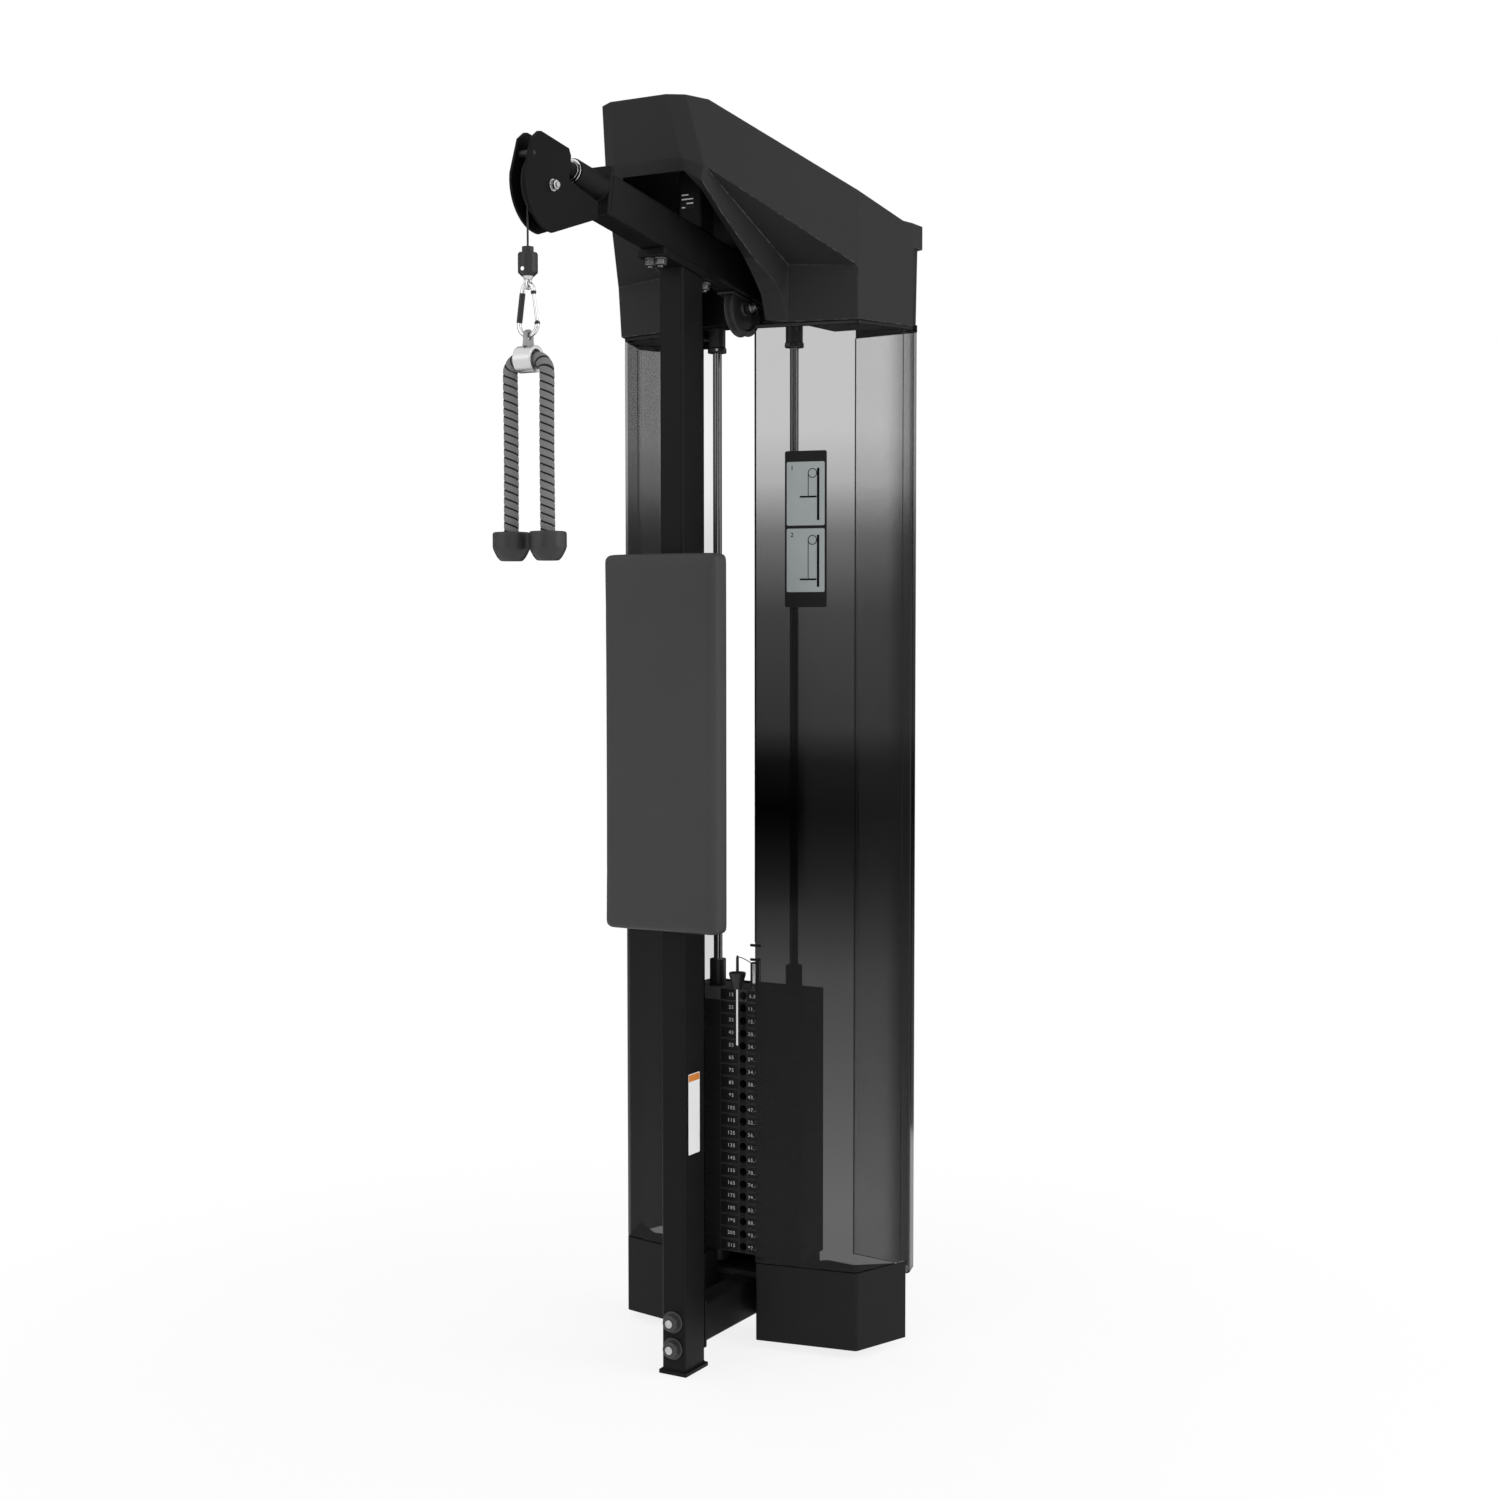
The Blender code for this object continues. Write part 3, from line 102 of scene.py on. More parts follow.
def setCamera():
    data = bpy.data.cameras.new("camera")
    data.lens = cameraLook["lens"]
    data.sensor_width = cameraLook["sensor"]
    data.clip_end = 60.0
    camera = bpy.data.objects.new("camera", data)
    camera.location = cameraLook["place"]
    camera.rotation_euler = [math.radians(a) for a in cameraLook["turn"]]
    shop.collection.objects.link(camera)
    shop.camera = camera


def seenDirectly(tree):
    # 1 for rays that look straight, by reflection or through glass at the surroundings
    path = addNode(tree, "LightPath")
    first = addNode(tree, "Math", operation="MAXIMUM")
    second = addNode(tree, "Math", operation="MAXIMUM")
    linkUp(
        tree,
        (path.outputs["Is Camera Ray"], first.inputs[0]),
        (path.outputs["Is Glossy Ray"], first.inputs[1]),
        (first.outputs[0], second.inputs[0]),
        (path.outputs["Is Transmission Ray"], second.inputs[1]),
    )
    return second.outputs[0]


def setWorld():
    world = bpy.data.worlds.new("studio")
    shop.world = world
    world.use_nodes = True
    tree = world.node_tree
    tree.nodes.clear()
    out = addNode(tree, "OutputWorld")
    back = addNode(tree, "Background", {"Color": (1, 1, 1, 1)})
    level = addNode(tree, "MapRange", {"To Min": roomLook["skyDiffuse"], "To Max": 1.0})
    linkUp(
        tree,
        (seenDirectly(tree), level.inputs["Value"]),
        (level.outputs[0], back.inputs["Strength"]),
        (back.outputs[0], out.inputs["Surface"]),
    )


def floorMaterial():
    made, tree, _ = newMaterial("studio_floor")
    tree.nodes.clear()
    out = addNode(tree, "OutputMaterial")
    mix = addNode(tree, "MixShader")
    matt = addNode(tree, "BsdfDiffuse", {"Color": (*roomLook["floorColour"], 1)})
    plain = addNode(tree, "Emission")
    where = addNode(tree, "TexCoord")
    reach = addNode(tree, "VectorMath", operation="LENGTH")
    limits = {
        "From Min": roomLook["fadeFrom"], "From Max": roomLook["fadeTo"], "To Min": roomLook["floorWhite"],
    }
    fade = addNode(tree, "MapRange", limits, interpolation_type="SMOOTHSTEP")
    both = addNode(tree, "Math", operation="MULTIPLY")
    linkUp(
        tree,
        (where.outputs["Object"], reach.inputs[0]),
        (reach.outputs["Value"], fade.inputs["Value"]),
        (fade.outputs[0], both.inputs[0]),
        (seenDirectly(tree), both.inputs[1]),
        (both.outputs[0], mix.inputs["Fac"]),
        (matt.outputs[0], mix.inputs[1]),
        (plain.outputs[0], mix.inputs[2]),
        (mix.outputs[0], out.inputs["Surface"]),
    )
    return made


def setFloor():
    bm = bmesh.new()
    bmesh.ops.create_grid(bm, x_segments=1, y_segments=1, size=roomLook["floorSize"] / 2)
    mesh = newMesh("studio_floor", bm)
    floor = bpy.data.objects.new("studio_floor", mesh)
    mesh.materials.append(floorMaterial())
    shop.collection.objects.link(floor)


def setLamp(name, place, target, size, power):
    data = bpy.data.lights.new(name, "AREA")
    data.shape = "RECTANGLE"
    data.size, data.size_y = size
    data.energy = power
    lamp = bpy.data.objects.new(name, data)
    lamp.location = place
    aim = Vector(target) - Vector(place)
    lamp.rotation_euler = aim.to_track_quat("-Z", "Y").to_euler()
    shop.collection.objects.link(lamp)


def setCard(name, place, target, wide, tall):
    # dark card that only reflections see, so that bright metal has an edge to it
    bm = bmesh.new()
    bmesh.ops.create_grid(bm, x_segments=1, y_segments=1, size=0.5)
    aim = (Vector(target) - Vector(place)).to_track_quat("Z", "Y").to_matrix().to_4x4()
    bmesh.ops.scale(bm, vec=(wide, tall, 1), verts=bm.verts)
    bmesh.ops.transform(bm, matrix=Matrix.Translation(place) @ aim, verts=bm.verts)
    mesh = newMesh(name, bm)
    card = bpy.data.objects.new(name, mesh)
    dark, _, shader = newMaterial(name)
    shader.inputs["Base Color"].default_value = (*[roomLook["cardTone"]] * 3, 1)
    shader.inputs["Specular IOR Level"].default_value = 0.0
    mesh.materials.append(dark)
    shop.collection.objects.link(card)
    for ray in ("camera", "diffuse", "transmission", "volume_scatter", "shadow"):
        setattr(card, "visible_" + ray, False)


print("room")
shop.view_settings.view_transform = "Standard"
setCamera()
setWorld()
setFloor()
setLamp("key_right", (4.2, 0.4, 2.6), (0, 0.1, 1.2), (2.0, 3.0), roomLook["keyPower"])
setLamp("fill_front", (-1.2, -4.6, 3.0), (0, 0, 1.2), (3.0, 2.0), roomLook["fillPower"])
setCard("card_left", (-3.4, -1.2, 1.8), (0, 0, 1.5), 1.1, 3.4)
setCard("card_front", (0.7, -4.4, 1.7), (0, 0, 1.5), 1.2, 3.2)
setCard("card_right", (4.0, -1.4, 1.8), (0, 0, 1.5), 0.9, 3.4)
setCard("card_rear", (-0.95, 1.53, 1.2), (0, 0, 1.2), 5.2, 6.0)


# ---- surface effects that several materials share

def newGroup(name, inputs, outputs):
    group = bpy.data.node_groups.new(name, "ShaderNodeTree")
    for label, kind, value in inputs:
        socket = group.interface.new_socket(label, in_out="INPUT", socket_type="NodeSocket" + kind)
        if value is not None:
            socket.default_value = value
    for label, kind in outputs:
        group.interface.new_socket(label, in_out="OUTPUT", socket_type="NodeSocket" + kind)
    return group, group.nodes.new("NodeGroupInput"), group.nodes.new("NodeGroupOutput")


def makeGrainGroup():
    # fine grain for bump and a slow cloud for colour and gloss
    group, enter, leave = newGroup(
        "fineGrain",
        [("Vector", "Vector", None), ("Scale", "Float", 900.0), ("Cloud Scale", "Float", 14.0)],
        [("Height", "Float"), ("Cloud", "Float")],
    )
    fine = addNode(group, "TexNoise", {"Detail": 3.0, "Roughness": 0.6})
    cloud = addNode(group, "TexNoise", {"Detail": 5.0, "Roughness": 0.62})
    spread = addNode(group, "MapRange", {"From Min": 0.32, "From Max": 0.68})
    linkUp(
        group,
        (enter.outputs["Vector"], fine.inputs["Vector"]),
        (enter.outputs["Scale"], fine.inputs["Scale"]),
        (enter.outputs["Vector"], cloud.inputs["Vector"]),
        (enter.outputs["Cloud Scale"], cloud.inputs["Scale"]),
        (fine.outputs["Fac"], leave.inputs["Height"]),
        (cloud.outputs["Fac"], spread.inputs["Value"]),
        (spread.outputs[0], leave.inputs["Cloud"]),
    )
    return group


def makePebbleGroup():
    # small rounded cells, as on moulded plastic and leathercloth
    group, enter, leave = newGroup(
        "pebbleGrain",
        [("Vector", "Vector", None), ("Scale", "Float", 700.0)],
        [("Height", "Float")],
    )
    cells = addNode(group, "TexVoronoi", {"Smoothness": 0.6}, feature="SMOOTH_F1")
    warp = addNode(group, "TexNoise", {"Detail": 2.0})
    blend = addNode(group, "Mix", {"Factor": 0.35})
    linkUp(
        group,
        (enter.outputs["Vector"], cells.inputs["Vector"]),
        (enter.outputs["Scale"], cells.inputs["Scale"]),
        (enter.outputs["Vector"], warp.inputs["Vector"]),
        (enter.outputs["Scale"], warp.inputs["Scale"]),
        (cells.outputs["Distance"], blend.inputs[2]),
        (warp.outputs["Fac"], blend.inputs[3]),
        (blend.outputs[0], leave.inputs["Height"]),
    )
    return group


fullWear = 0.8  # how far the normals have turned where an edge counts as wholly worn


def makeEdgeGroup():
    # 1 along worn edges, broken up by noise; on the hood the same mask carries a painted highlight along the
    # creases
    group, enter, leave = newGroup(
        "edgeWearAndHighlight",
        [
            ("Vector", "Vector", None), ("Width", "Float", 0.0015), ("Amount", "Float", 0.5),
            ("Full", "Float", fullWear),
        ],
        [("Mask", "Float")],
    )
    soft = addNode(group, "Bevel", samples=4)
    facing = addNode(group, "NewGeometry")
    dot = addNode(group, "VectorMath", operation="DOT_PRODUCT")
    rub = addNode(group, "TexNoise", {"Scale": 90.0, "Detail": 4.0})
    turnDown = addNode(group, "MapRange", {"From Min": 0.99})
    breakUp = addNode(group, "MapRange", {"From Min": 0.42, "From Max": 0.62})
    first = addNode(group, "Math", operation="MULTIPLY")
    second = addNode(group, "Math", operation="MULTIPLY")
    linkUp(
        group,
        (enter.outputs["Width"], soft.inputs["Radius"]),
        (soft.outputs["Normal"], dot.inputs[0]),
        (facing.outputs["Normal"], dot.inputs[1]),
        (dot.outputs["Value"], turnDown.inputs["Value"]),
        (enter.outputs["Full"], turnDown.inputs["From Max"]),
        (enter.outputs["Vector"], rub.inputs["Vector"]),
        (rub.outputs["Fac"], breakUp.inputs["Value"]),
        (turnDown.outputs[0], first.inputs[0]),
        (breakUp.outputs[0], first.inputs[1]),
        (first.outputs[0], second.inputs[0]),
        (enter.outputs["Amount"], second.inputs[1]),
        (second.outputs[0], leave.inputs["Mask"]),
    )
    return group


fineGrain = makeGrainGroup()
pebbleGrain = makePebbleGroup()
edgeWearAndHighlight = makeEdgeGroup()


# ---- materials

def useGroup(tree, group, values):
    return addNode(tree, "Group", values, node_tree=group)


def mixColour(tree, factor, first, second):
    node = addNode(tree, "Mix", data_type="RGBA")
    tree.links.new(factor, node.inputs["Factor"])
    for socket, value in ((node.inputs[6], first), (node.inputs[7], second)):
        if isinstance(value, tuple):
            socket.default_value = (*value, 1)
        else:
            tree.links.new(value, socket)
    return node.outputs[2]


def spreadOut(tree, source, low, high):
    node = addNode(tree, "MapRange", {"To Min": low, "To Max": high})
    tree.links.new(source, node.inputs["Value"])
    return node.outputs[0]


def surface(name, colour, cloudy, roughness, grain, depth, metallic=0.0, specular=0.5, pebble=False,
            wearAndHighlight=None, stretch=(1, 1, 1), cloudScale=14.0):
    # one solid finish: two near colours in clouds, gloss that varies, grain in the bump, lighter worn edges,
    # which on the hood are a painted highlight along its creases
    made, tree, shader = newMaterial(name)
    shader.inputs["Metallic"].default_value = metallic
    shader.inputs["Specular IOR Level"].default_value = specular
    where = addNode(tree, "TexCoord")
    place = addNode(tree, "Mapping", {"Scale": stretch})
    tree.links.new(where.outputs["Object"], place.inputs["Vector"])
    fine = useGroup(tree, fineGrain, {"Scale": grain, "Cloud Scale": cloudScale})
    tree.links.new(place.outputs[0], fine.inputs["Vector"])
    tone = mixColour(tree, fine.outputs["Cloud"], colour, cloudy)
    gloss = spreadOut(tree, fine.outputs["Cloud"], *roughness)
    if wearAndHighlight:
        wornAndLitTone, width, amount, full = (*wearAndHighlight, fullWear)[:4]
        edge = useGroup(tree, edgeWearAndHighlight, {"Width": width, "Amount": amount, "Full": full})
        tree.links.new(where.outputs["Object"], edge.inputs["Vector"])
        tone = mixColour(tree, edge.outputs["Mask"], tone, wornAndLitTone)
    bump = addNode(tree, "Bump", {"Strength": 1.0, "Distance": depth})
    height = fine.outputs["Height"]
    if pebble:
        cells = useGroup(tree, pebbleGrain, {"Scale": grain})
        tree.links.new(place.outputs[0], cells.inputs["Vector"])
        height = cells.outputs["Height"]
    linkUp(
        tree,
        (tone, shader.inputs["Base Color"]),
        (gloss, shader.inputs["Roughness"]),
        (height, bump.inputs["Height"]),
        (bump.outputs["Normal"], shader.inputs["Normal"]),
    )
    return made


def grey(level):
    return (level, level, level * 1.01)


powderCoat = surface(
    "powder_coat_satin", grey(0.0062), grey(0.0080), (0.42, 0.52), 520, 0.00012, specular=0.10,
    wearAndHighlight=(grey(0.026), 0.0014, 0.55),
)
blackSteel = surface(
    "black_oiled_steel", grey(0.012), grey(0.020), (0.30, 0.48), 700, 0.00008, specular=0.3,
    wearAndHighlight=(grey(0.10), 0.0012, 0.7),
)
platePaint = surface(
    "weight_plate_paint", grey(0.0125), grey(0.0155), (0.50, 0.62), 420, 0.00014, specular=0.12,
    wearAndHighlight=(grey(0.040), 0.0014, 0.7),
)
headPaint = surface(
    "head_weight_paint", grey(0.060), grey(0.072), (0.42, 0.54), 420, 0.00014, specular=0.2,
    wearAndHighlight=(grey(0.160), 0.0016, 0.8),
)
# a darker copy of the same black powder coat: painted shade for the pulley head's cheeks, swivel barrel and
# neck
shadedPowderCoat = surface(
    "powder_coat_painted_shade", grey(0.0035), grey(0.0046), (0.44, 0.54), 520, 0.00010, specular=0.08,
    wearAndHighlight=(grey(0.050), 0.0016, 0.9),
)
nutSteel = surface(
    "nut_black_steel", grey(0.030), grey(0.048), (0.34, 0.50), 700, 0.00008, specular=0.4,
    wearAndHighlight=(grey(0.14), 0.0014, 0.8),
)
# the hood's light edge colour is a painted highlight along its creases, made wider and stronger by its fourth
# value
hoodPlastic = surface(
    "hood_moulding", grey(0.0215), grey(0.0245), (0.52, 0.62), 1300, 0.00010, specular=0.14, pebble=True,
    wearAndHighlight=(grey(0.130), 0.0020, 0.9, 0.975), cloudScale=7.0,
)
coverPlastic = surface(
    "base_cover_moulding", grey(0.0096), grey(0.0116), (0.50, 0.60), 1300, 0.00009, specular=0.14,
    pebble=True,
    wearAndHighlight=(grey(0.034), 0.0018, 0.5),
)
chromeFinish = surface(
    "bright_chrome", grey(0.72), grey(0.80), (0.06, 0.14), 1600, 0.00001, metallic=1.0, cloudScale=40.0,
)
rodSteel = surface(
    "ground_rod_steel", grey(0.16), grey(0.20), (0.10, 0.20), 1800, 0.00002, metallic=1.0,
    stretch=(1, 1, 0.04), cloudScale=30.0,
)
zincFinish = surface(
    "zinc_plate", grey(0.42), grey(0.60), (0.24, 0.42), 900, 0.00004, metallic=1.0,
    wearAndHighlight=(grey(0.78), 0.0008, 0.5), cloudScale=120.0,
)
satinNickel = surface(
    "satin_nickel", grey(0.62), grey(0.72), (0.30, 0.42), 1400, 0.00004, metallic=1.0,
    wearAndHighlight=(grey(0.85), 0.0010, 0.6), stretch=(0.15, 1, 1), cloudScale=60.0,
)
mattTab = surface(
    "blasted_steel", grey(0.30), grey(0.38), (0.48, 0.60), 1500, 0.00010, metallic=0.9,
    wearAndHighlight=(grey(0.70), 0.0008, 0.7), cloudScale=80.0,
)
rubberFinish = surface(
    "moulded_rubber", grey(0.0190), grey(0.0240), (0.38, 0.50), 900, 0.00010, specular=0.45,
    wearAndHighlight=(grey(0.065), 0.0022, 0.5), cloudScale=30.0,
)
nylonFinish = surface(
    "turned_nylon", grey(0.0160), grey(0.0210), (0.34, 0.46), 1100, 0.00005, specular=0.35,
    wearAndHighlight=(grey(0.08), 0.0010, 0.6), cloudScale=40.0,
)
wheelNylon = surface(
    "wheel_nylon", grey(0.030), grey(0.038), (0.36, 0.48), 1100, 0.00005, specular=0.35,
    wearAndHighlight=(grey(0.10), 0.0012, 0.7), cloudScale=40.0,
)
cableSheath = surface(
    "cable_sheath", grey(0.010), grey(0.016), (0.26, 0.40), 1500, 0.00004, specular=0.4, cloudScale=60.0,
)
labelWhite = surface("label_white", grey(0.82), grey(0.86), (0.35, 0.45), 1600, 0.00002, cloudScale=20.0)
darkZinc = surface(
    "dull_zinc", grey(0.13), grey(0.22), (0.30, 0.46), 900, 0.00005, metallic=1.0,
    wearAndHighlight=(grey(0.60), 0.0010, 0.7), cloudScale=110.0,
)
acrylicEdge = surface("acrylic_edge", grey(0.004), grey(0.006), (0.16, 0.26), 900, 0.00002, specular=0.2)
printGrey = surface("printed_grey", grey(0.50), grey(0.60), (0.45, 0.55), 1600, 0.00002, cloudScale=200.0)
stickerBlack = surface(
    "sticker_black", grey(0.0050), grey(0.0066), (0.34, 0.44), 1600, 0.00002, specular=0.15,
)
stickerEdge = surface("sticker_edge", grey(0.050), grey(0.070), (0.45, 0.55), 1600, 0.00002, cloudScale=90.0)
labelOrange = surface("label_orange", (0.62, 0.20, 0.03), (0.70, 0.25, 0.04), (0.35, 0.45), 1600, 0.00002)
panelGrey = surface(
    "printed_panel", (0.300, 0.335, 0.335), (0.325, 0.355, 0.355), (0.35, 0.45), 1600, 0.00002,
    cloudScale=20.0,
)
backingBoard = surface(
    "pad_backing", grey(0.010), grey(0.014), (0.6, 0.7), 500, 0.0001, specular=0.2, stretch=(1, 1, 0.2),
)
gapBlack = surface("dark_inside", grey(0.002), grey(0.003), (0.7, 0.8), 500, 0.0001, specular=0.05)

vinylLook = {
    "colour": grey(0.0385),
    "cloudy": grey(0.0435),
    "roughness": (0.44, 0.54),
    "pebble": 620.0,
    "depth": 0.00016,
    "creaseScale": 22.0,
}


def makeVinyl():
    # leathercloth: pebbled grain, with slow soft creases under it
    made = surface(
        "black_leathercloth", vinylLook["colour"], vinylLook["cloudy"], vinylLook["roughness"],
        vinylLook["pebble"], vinylLook["depth"], specular=0.22, pebble=True, cloudScale=5.0,
    )
    tree = made.node_tree
    shader = tree.nodes["Principled BSDF"]
    shader.inputs["Sheen Weight"].default_value = 0.03
    shader.inputs["Sheen Roughness"].default_value = 0.5
    fineBump = shader.inputs["Normal"].links[0].from_node
    where = addNode(tree, "TexCoord")
    crease = addNode(tree, "TexNoise", {"Scale": vinylLook["creaseScale"], "Detail": 2.0})
    slow = addNode(tree, "Bump", {"Distance": 0.0012, "Strength": 0.35})
    linkUp(
        tree,
        (where.outputs["Object"], crease.inputs["Vector"]),
        (crease.outputs["Fac"], slow.inputs["Height"]),
        (slow.outputs["Normal"], fineBump.inputs["Normal"]),
    )
    return made


acrylicLook = {
    # height in metres, opacity of one face, darkness of the sheet itself; both are painted shade and painted
    # reflection by height, light at the top, near black in the middle, grey at the bottom
    "paintedShadeByHeight": [
        (1.80, 0.27, 0.018), (1.70, 0.36, 0.018), (1.60, 0.62, 0.018), (1.45, 0.80, 0.018),
        (1.23, 0.85, 0.016), (1.16, 0.95, 0.004), (1.07, 0.985, 0.001), (0.95, 0.92, 0.004),
        (0.75, 0.78, 0.014), (0.30, 0.66, 0.020),
    ],
    "rearFrom": 0.392,
    "rearClear": 0.25,  # share of the opacity that the rear panel keeps
    "grazing": 0.55,  # how much of the rest is lost where the sheet is seen edge on
    # the same loss for the rear strips, along Y: painted shade set by position, standing in for the loss
    # where these strips are seen edge on
    "strip": [(0.343, 0.0), (0.347, 0.28), (0.392, 0.28), (0.396, 0.0)],
}


def rampOn(tree, source, stops):
    node = addNode(tree, "ValToRGB")
    ramp = node.color_ramp
    ordered = sorted(stops)
    ramp.elements[0].position, ramp.elements[1].position = ordered[0][0], ordered[-1][0]
    for place, _ in ordered[1:-1]:
        ramp.elements.new(place)
    for element, (place, value) in zip(ramp.elements, ordered):
        element.position = place
        element.color = (value, value, value, 1)
    tree.links.new(source, node.inputs[0])
    return node.outputs["Color"]


def makeAcrylic():
    # smoked sheet with painted reflection and painted shade: its opacity and darkness follow its height,
    # deepest towards the middle, and its rear strips are painted darker by position
    made, tree, shader = newMaterial("smoked_acrylic")
    shader.inputs["Specular IOR Level"].default_value = 0.08
    where = addNode(tree, "TexCoord")
    parts = addNode(tree, "SeparateXYZ")
    tall = addNode(tree, "MapRange", {"From Max": 2.0})
    rearFrom = acrylicLook["rearFrom"]
    limits = {
        "From Min": rearFrom, "From Max": rearFrom + 0.004, "To Min": 1.0, "To Max": acrylicLook["rearClear"],
    }
    rear = addNode(tree, "MapRange", limits)
    film = addNode(tree, "Math", operation="MULTIPLY")
    linkUp(
        tree,
        (where.outputs["Object"], parts.inputs[0]),
        (parts.outputs["Z"], tall.inputs["Value"]),
        (parts.outputs["Y"], rear.inputs["Value"]),
    )
    # painted shade and painted reflection: opacity and darkness ramped by height
    opacity = rampOn(tree, tall.outputs[0], [(z / 2, a) for z, a, _ in acrylicLook["paintedShadeByHeight"]])
    shade = rampOn(tree, tall.outputs[0], [(z / 2, c) for z, _, c in acrylicLook["paintedShadeByHeight"]])
    haze = useGroup(tree, fineGrain, {"Scale": 1400.0, "Cloud Scale": 9.0})
    wave = addNode(tree, "Bump", {"Distance": 0.00001})
    slant = addNode(tree, "LayerWeight", {"Blend": 0.5})
    limits = {"From Min": 0.45, "From Max": 0.95, "To Max": acrylicLook["grazing"]}
    loss = addNode(tree, "MapRange", limits, interpolation_type="SMOOTHSTEP")
    thicker = addNode(tree, "Mix", {3: 1.0})
    more = addNode(tree, "Math", operation="MAXIMUM")
    linkUp(
        tree,
        (rampOn(tree, parts.outputs["Y"], acrylicLook["strip"]), more.inputs[1]),
        (opacity, film.inputs[0]),
        (rear.outputs[0], film.inputs[1]),
        (slant.outputs["Facing"], loss.inputs["Value"]),
        (loss.outputs[0], more.inputs[0]),
        (more.outputs[0], thicker.inputs["Factor"]),
        (film.outputs[0], thicker.inputs[2]),
        (thicker.outputs[0], shader.inputs["Alpha"]),
        (shade, shader.inputs["Base Color"]),
        (where.outputs["Object"], haze.inputs["Vector"]),
        (haze.outputs["Height"], wave.inputs["Height"]),
        (wave.outputs["Normal"], shader.inputs["Normal"]),
        (spreadOut(tree, haze.outputs["Cloud"], 0.10, 0.18), shader.inputs["Roughness"]),
    )
    return made


ropeLook = {
    "radius": 0.0127,
    "legX": 0.0376,
    "bend": 0.0226,
    "crown": 1.8715,
    "low": 1.5835,
    "lay": 0.0274,  # length of one full turn
    "strands": 2,
    "grooveDeep": 0.0018,
    "grooveWide": 0.20,  # radians
    "step": 0.0016,
    "fibre": grey(0.220),
    "fibreDark": grey(0.160),
    # painted shade where two strands meet
    "groove": grey(0.016),
}


def makeRopeFibre():
    # laid fibre: the UV runs round each strand and along the rope, with painted shade where two strands meet
    made, tree, shader = newMaterial("laid_rope_fibre")
    shader.inputs["Specular IOR Level"].default_value = 0.15
    where = addNode(tree, "UVMap", uv_map="lay")
    parts = addNode(tree, "SeparateXYZ")
    thread = addNode(tree, "Mapping", {"Rotation": (0, 0, math.radians(18)), "Scale": (26, 900, 1)})
    yarn = addNode(tree, "TexNoise", {"Scale": 1.0, "Detail": 4.0})
    fuzz = useGroup(tree, fineGrain, {"Scale": 1900.0, "Cloud Scale": 160.0})
    objects = addNode(tree, "TexCoord")
    shallow = addNode(tree, "Math", {1: 0.5}, operation="PINGPONG")
    limits = {"From Min": 0.060, "From Max": 0.170}
    strandShadeMask = addNode(tree, "MapRange", limits, interpolation_type="SMOOTHSTEP")
    linkUp(
        tree,
        (where.outputs[0], parts.inputs[0]),
        (where.outputs[0], thread.inputs["Vector"]),
        (thread.outputs[0], yarn.inputs["Vector"]),
        (objects.outputs["Object"], fuzz.inputs["Vector"]),
        (parts.outputs["X"], shallow.inputs[0]),
        (shallow.outputs[0], strandShadeMask.inputs["Value"]),
    )
    mixed = spreadOut(tree, yarn.outputs["Fac"], -0.4, 1.4)
    fibre = mixColour(tree, mixed, ropeLook["fibreDark"], ropeLook["fibre"])
    tone = mixColour(tree, strandShadeMask.outputs[0], ropeLook["groove"], fibre)
    bumpFine = addNode(tree, "Bump", {"Distance": 0.0003})
    bumpYarn = addNode(tree, "Bump", {"Distance": 0.0006})
    linkUp(
        tree,
        (tone, shader.inputs["Base Color"]),
        (spreadOut(tree, fuzz.outputs["Cloud"], 0.78, 0.95), shader.inputs["Roughness"]),
        (yarn.outputs["Fac"], bumpYarn.inputs["Height"]),
        (fuzz.outputs["Height"], bumpFine.inputs["Height"]),
        (bumpYarn.outputs["Normal"], bumpFine.inputs["Normal"]),
        (bumpFine.outputs["Normal"], shader.inputs["Normal"]),
    )
    return made


print("materials")
leathercloth = makeVinyl()
smokedAcrylic = makeAcrylic()
ropeFibre = makeRopeFibre()


# ---- shapes

tubeLook = {"wide": 0.0508, "deep": 0.0762, "wall": 0.003, "corner": 0.006}
boomLook = {"height": 2.1363, "tilt": math.radians(9.0), "front": -0.2734, "rear": 0.2970}

along = Vector((0, math.cos(boomLook["tilt"]), -math.sin(boomLook["tilt"])))
rise = Vector((0, math.sin(boomLook["tilt"]), math.cos(boomLook["tilt"])))
boomTurn = Matrix(((1, 0, 0), along, rise)).transposed().to_4x4()
boomFrame = Matrix.Translation((0, 0, boomLook["height"])) @ boomTurn
lieX = Matrix.Rotation(math.radians(90), 4, "Y")
lieY = Matrix.Rotation(math.radians(-90), 4, "X")
sideOn = Matrix(((0, 0, 1, 0), (1, 0, 0, 0), (0, 1, 0, 0), (0, 0, 0, 1)))
hands = ((-1, "left"), (1, "right"))
clearance = 0.0003  # between one piece and the next


def boomPoint(s, up=0.0):
    return Vector((0, 0, boomLook["height"])) + along * s + rise * up


def shaped(add, *values, **settings):
    # a fresh bmesh with one shape in it
    bm = bmesh.new()
    add(bm, *values, **settings)
    return bm


def placed(bm, before, matrix):
    fresh = [v for v in bm.verts if v not in before]
    if matrix is not None:
        bmesh.ops.transform(bm, matrix=matrix, verts=fresh)
    return fresh


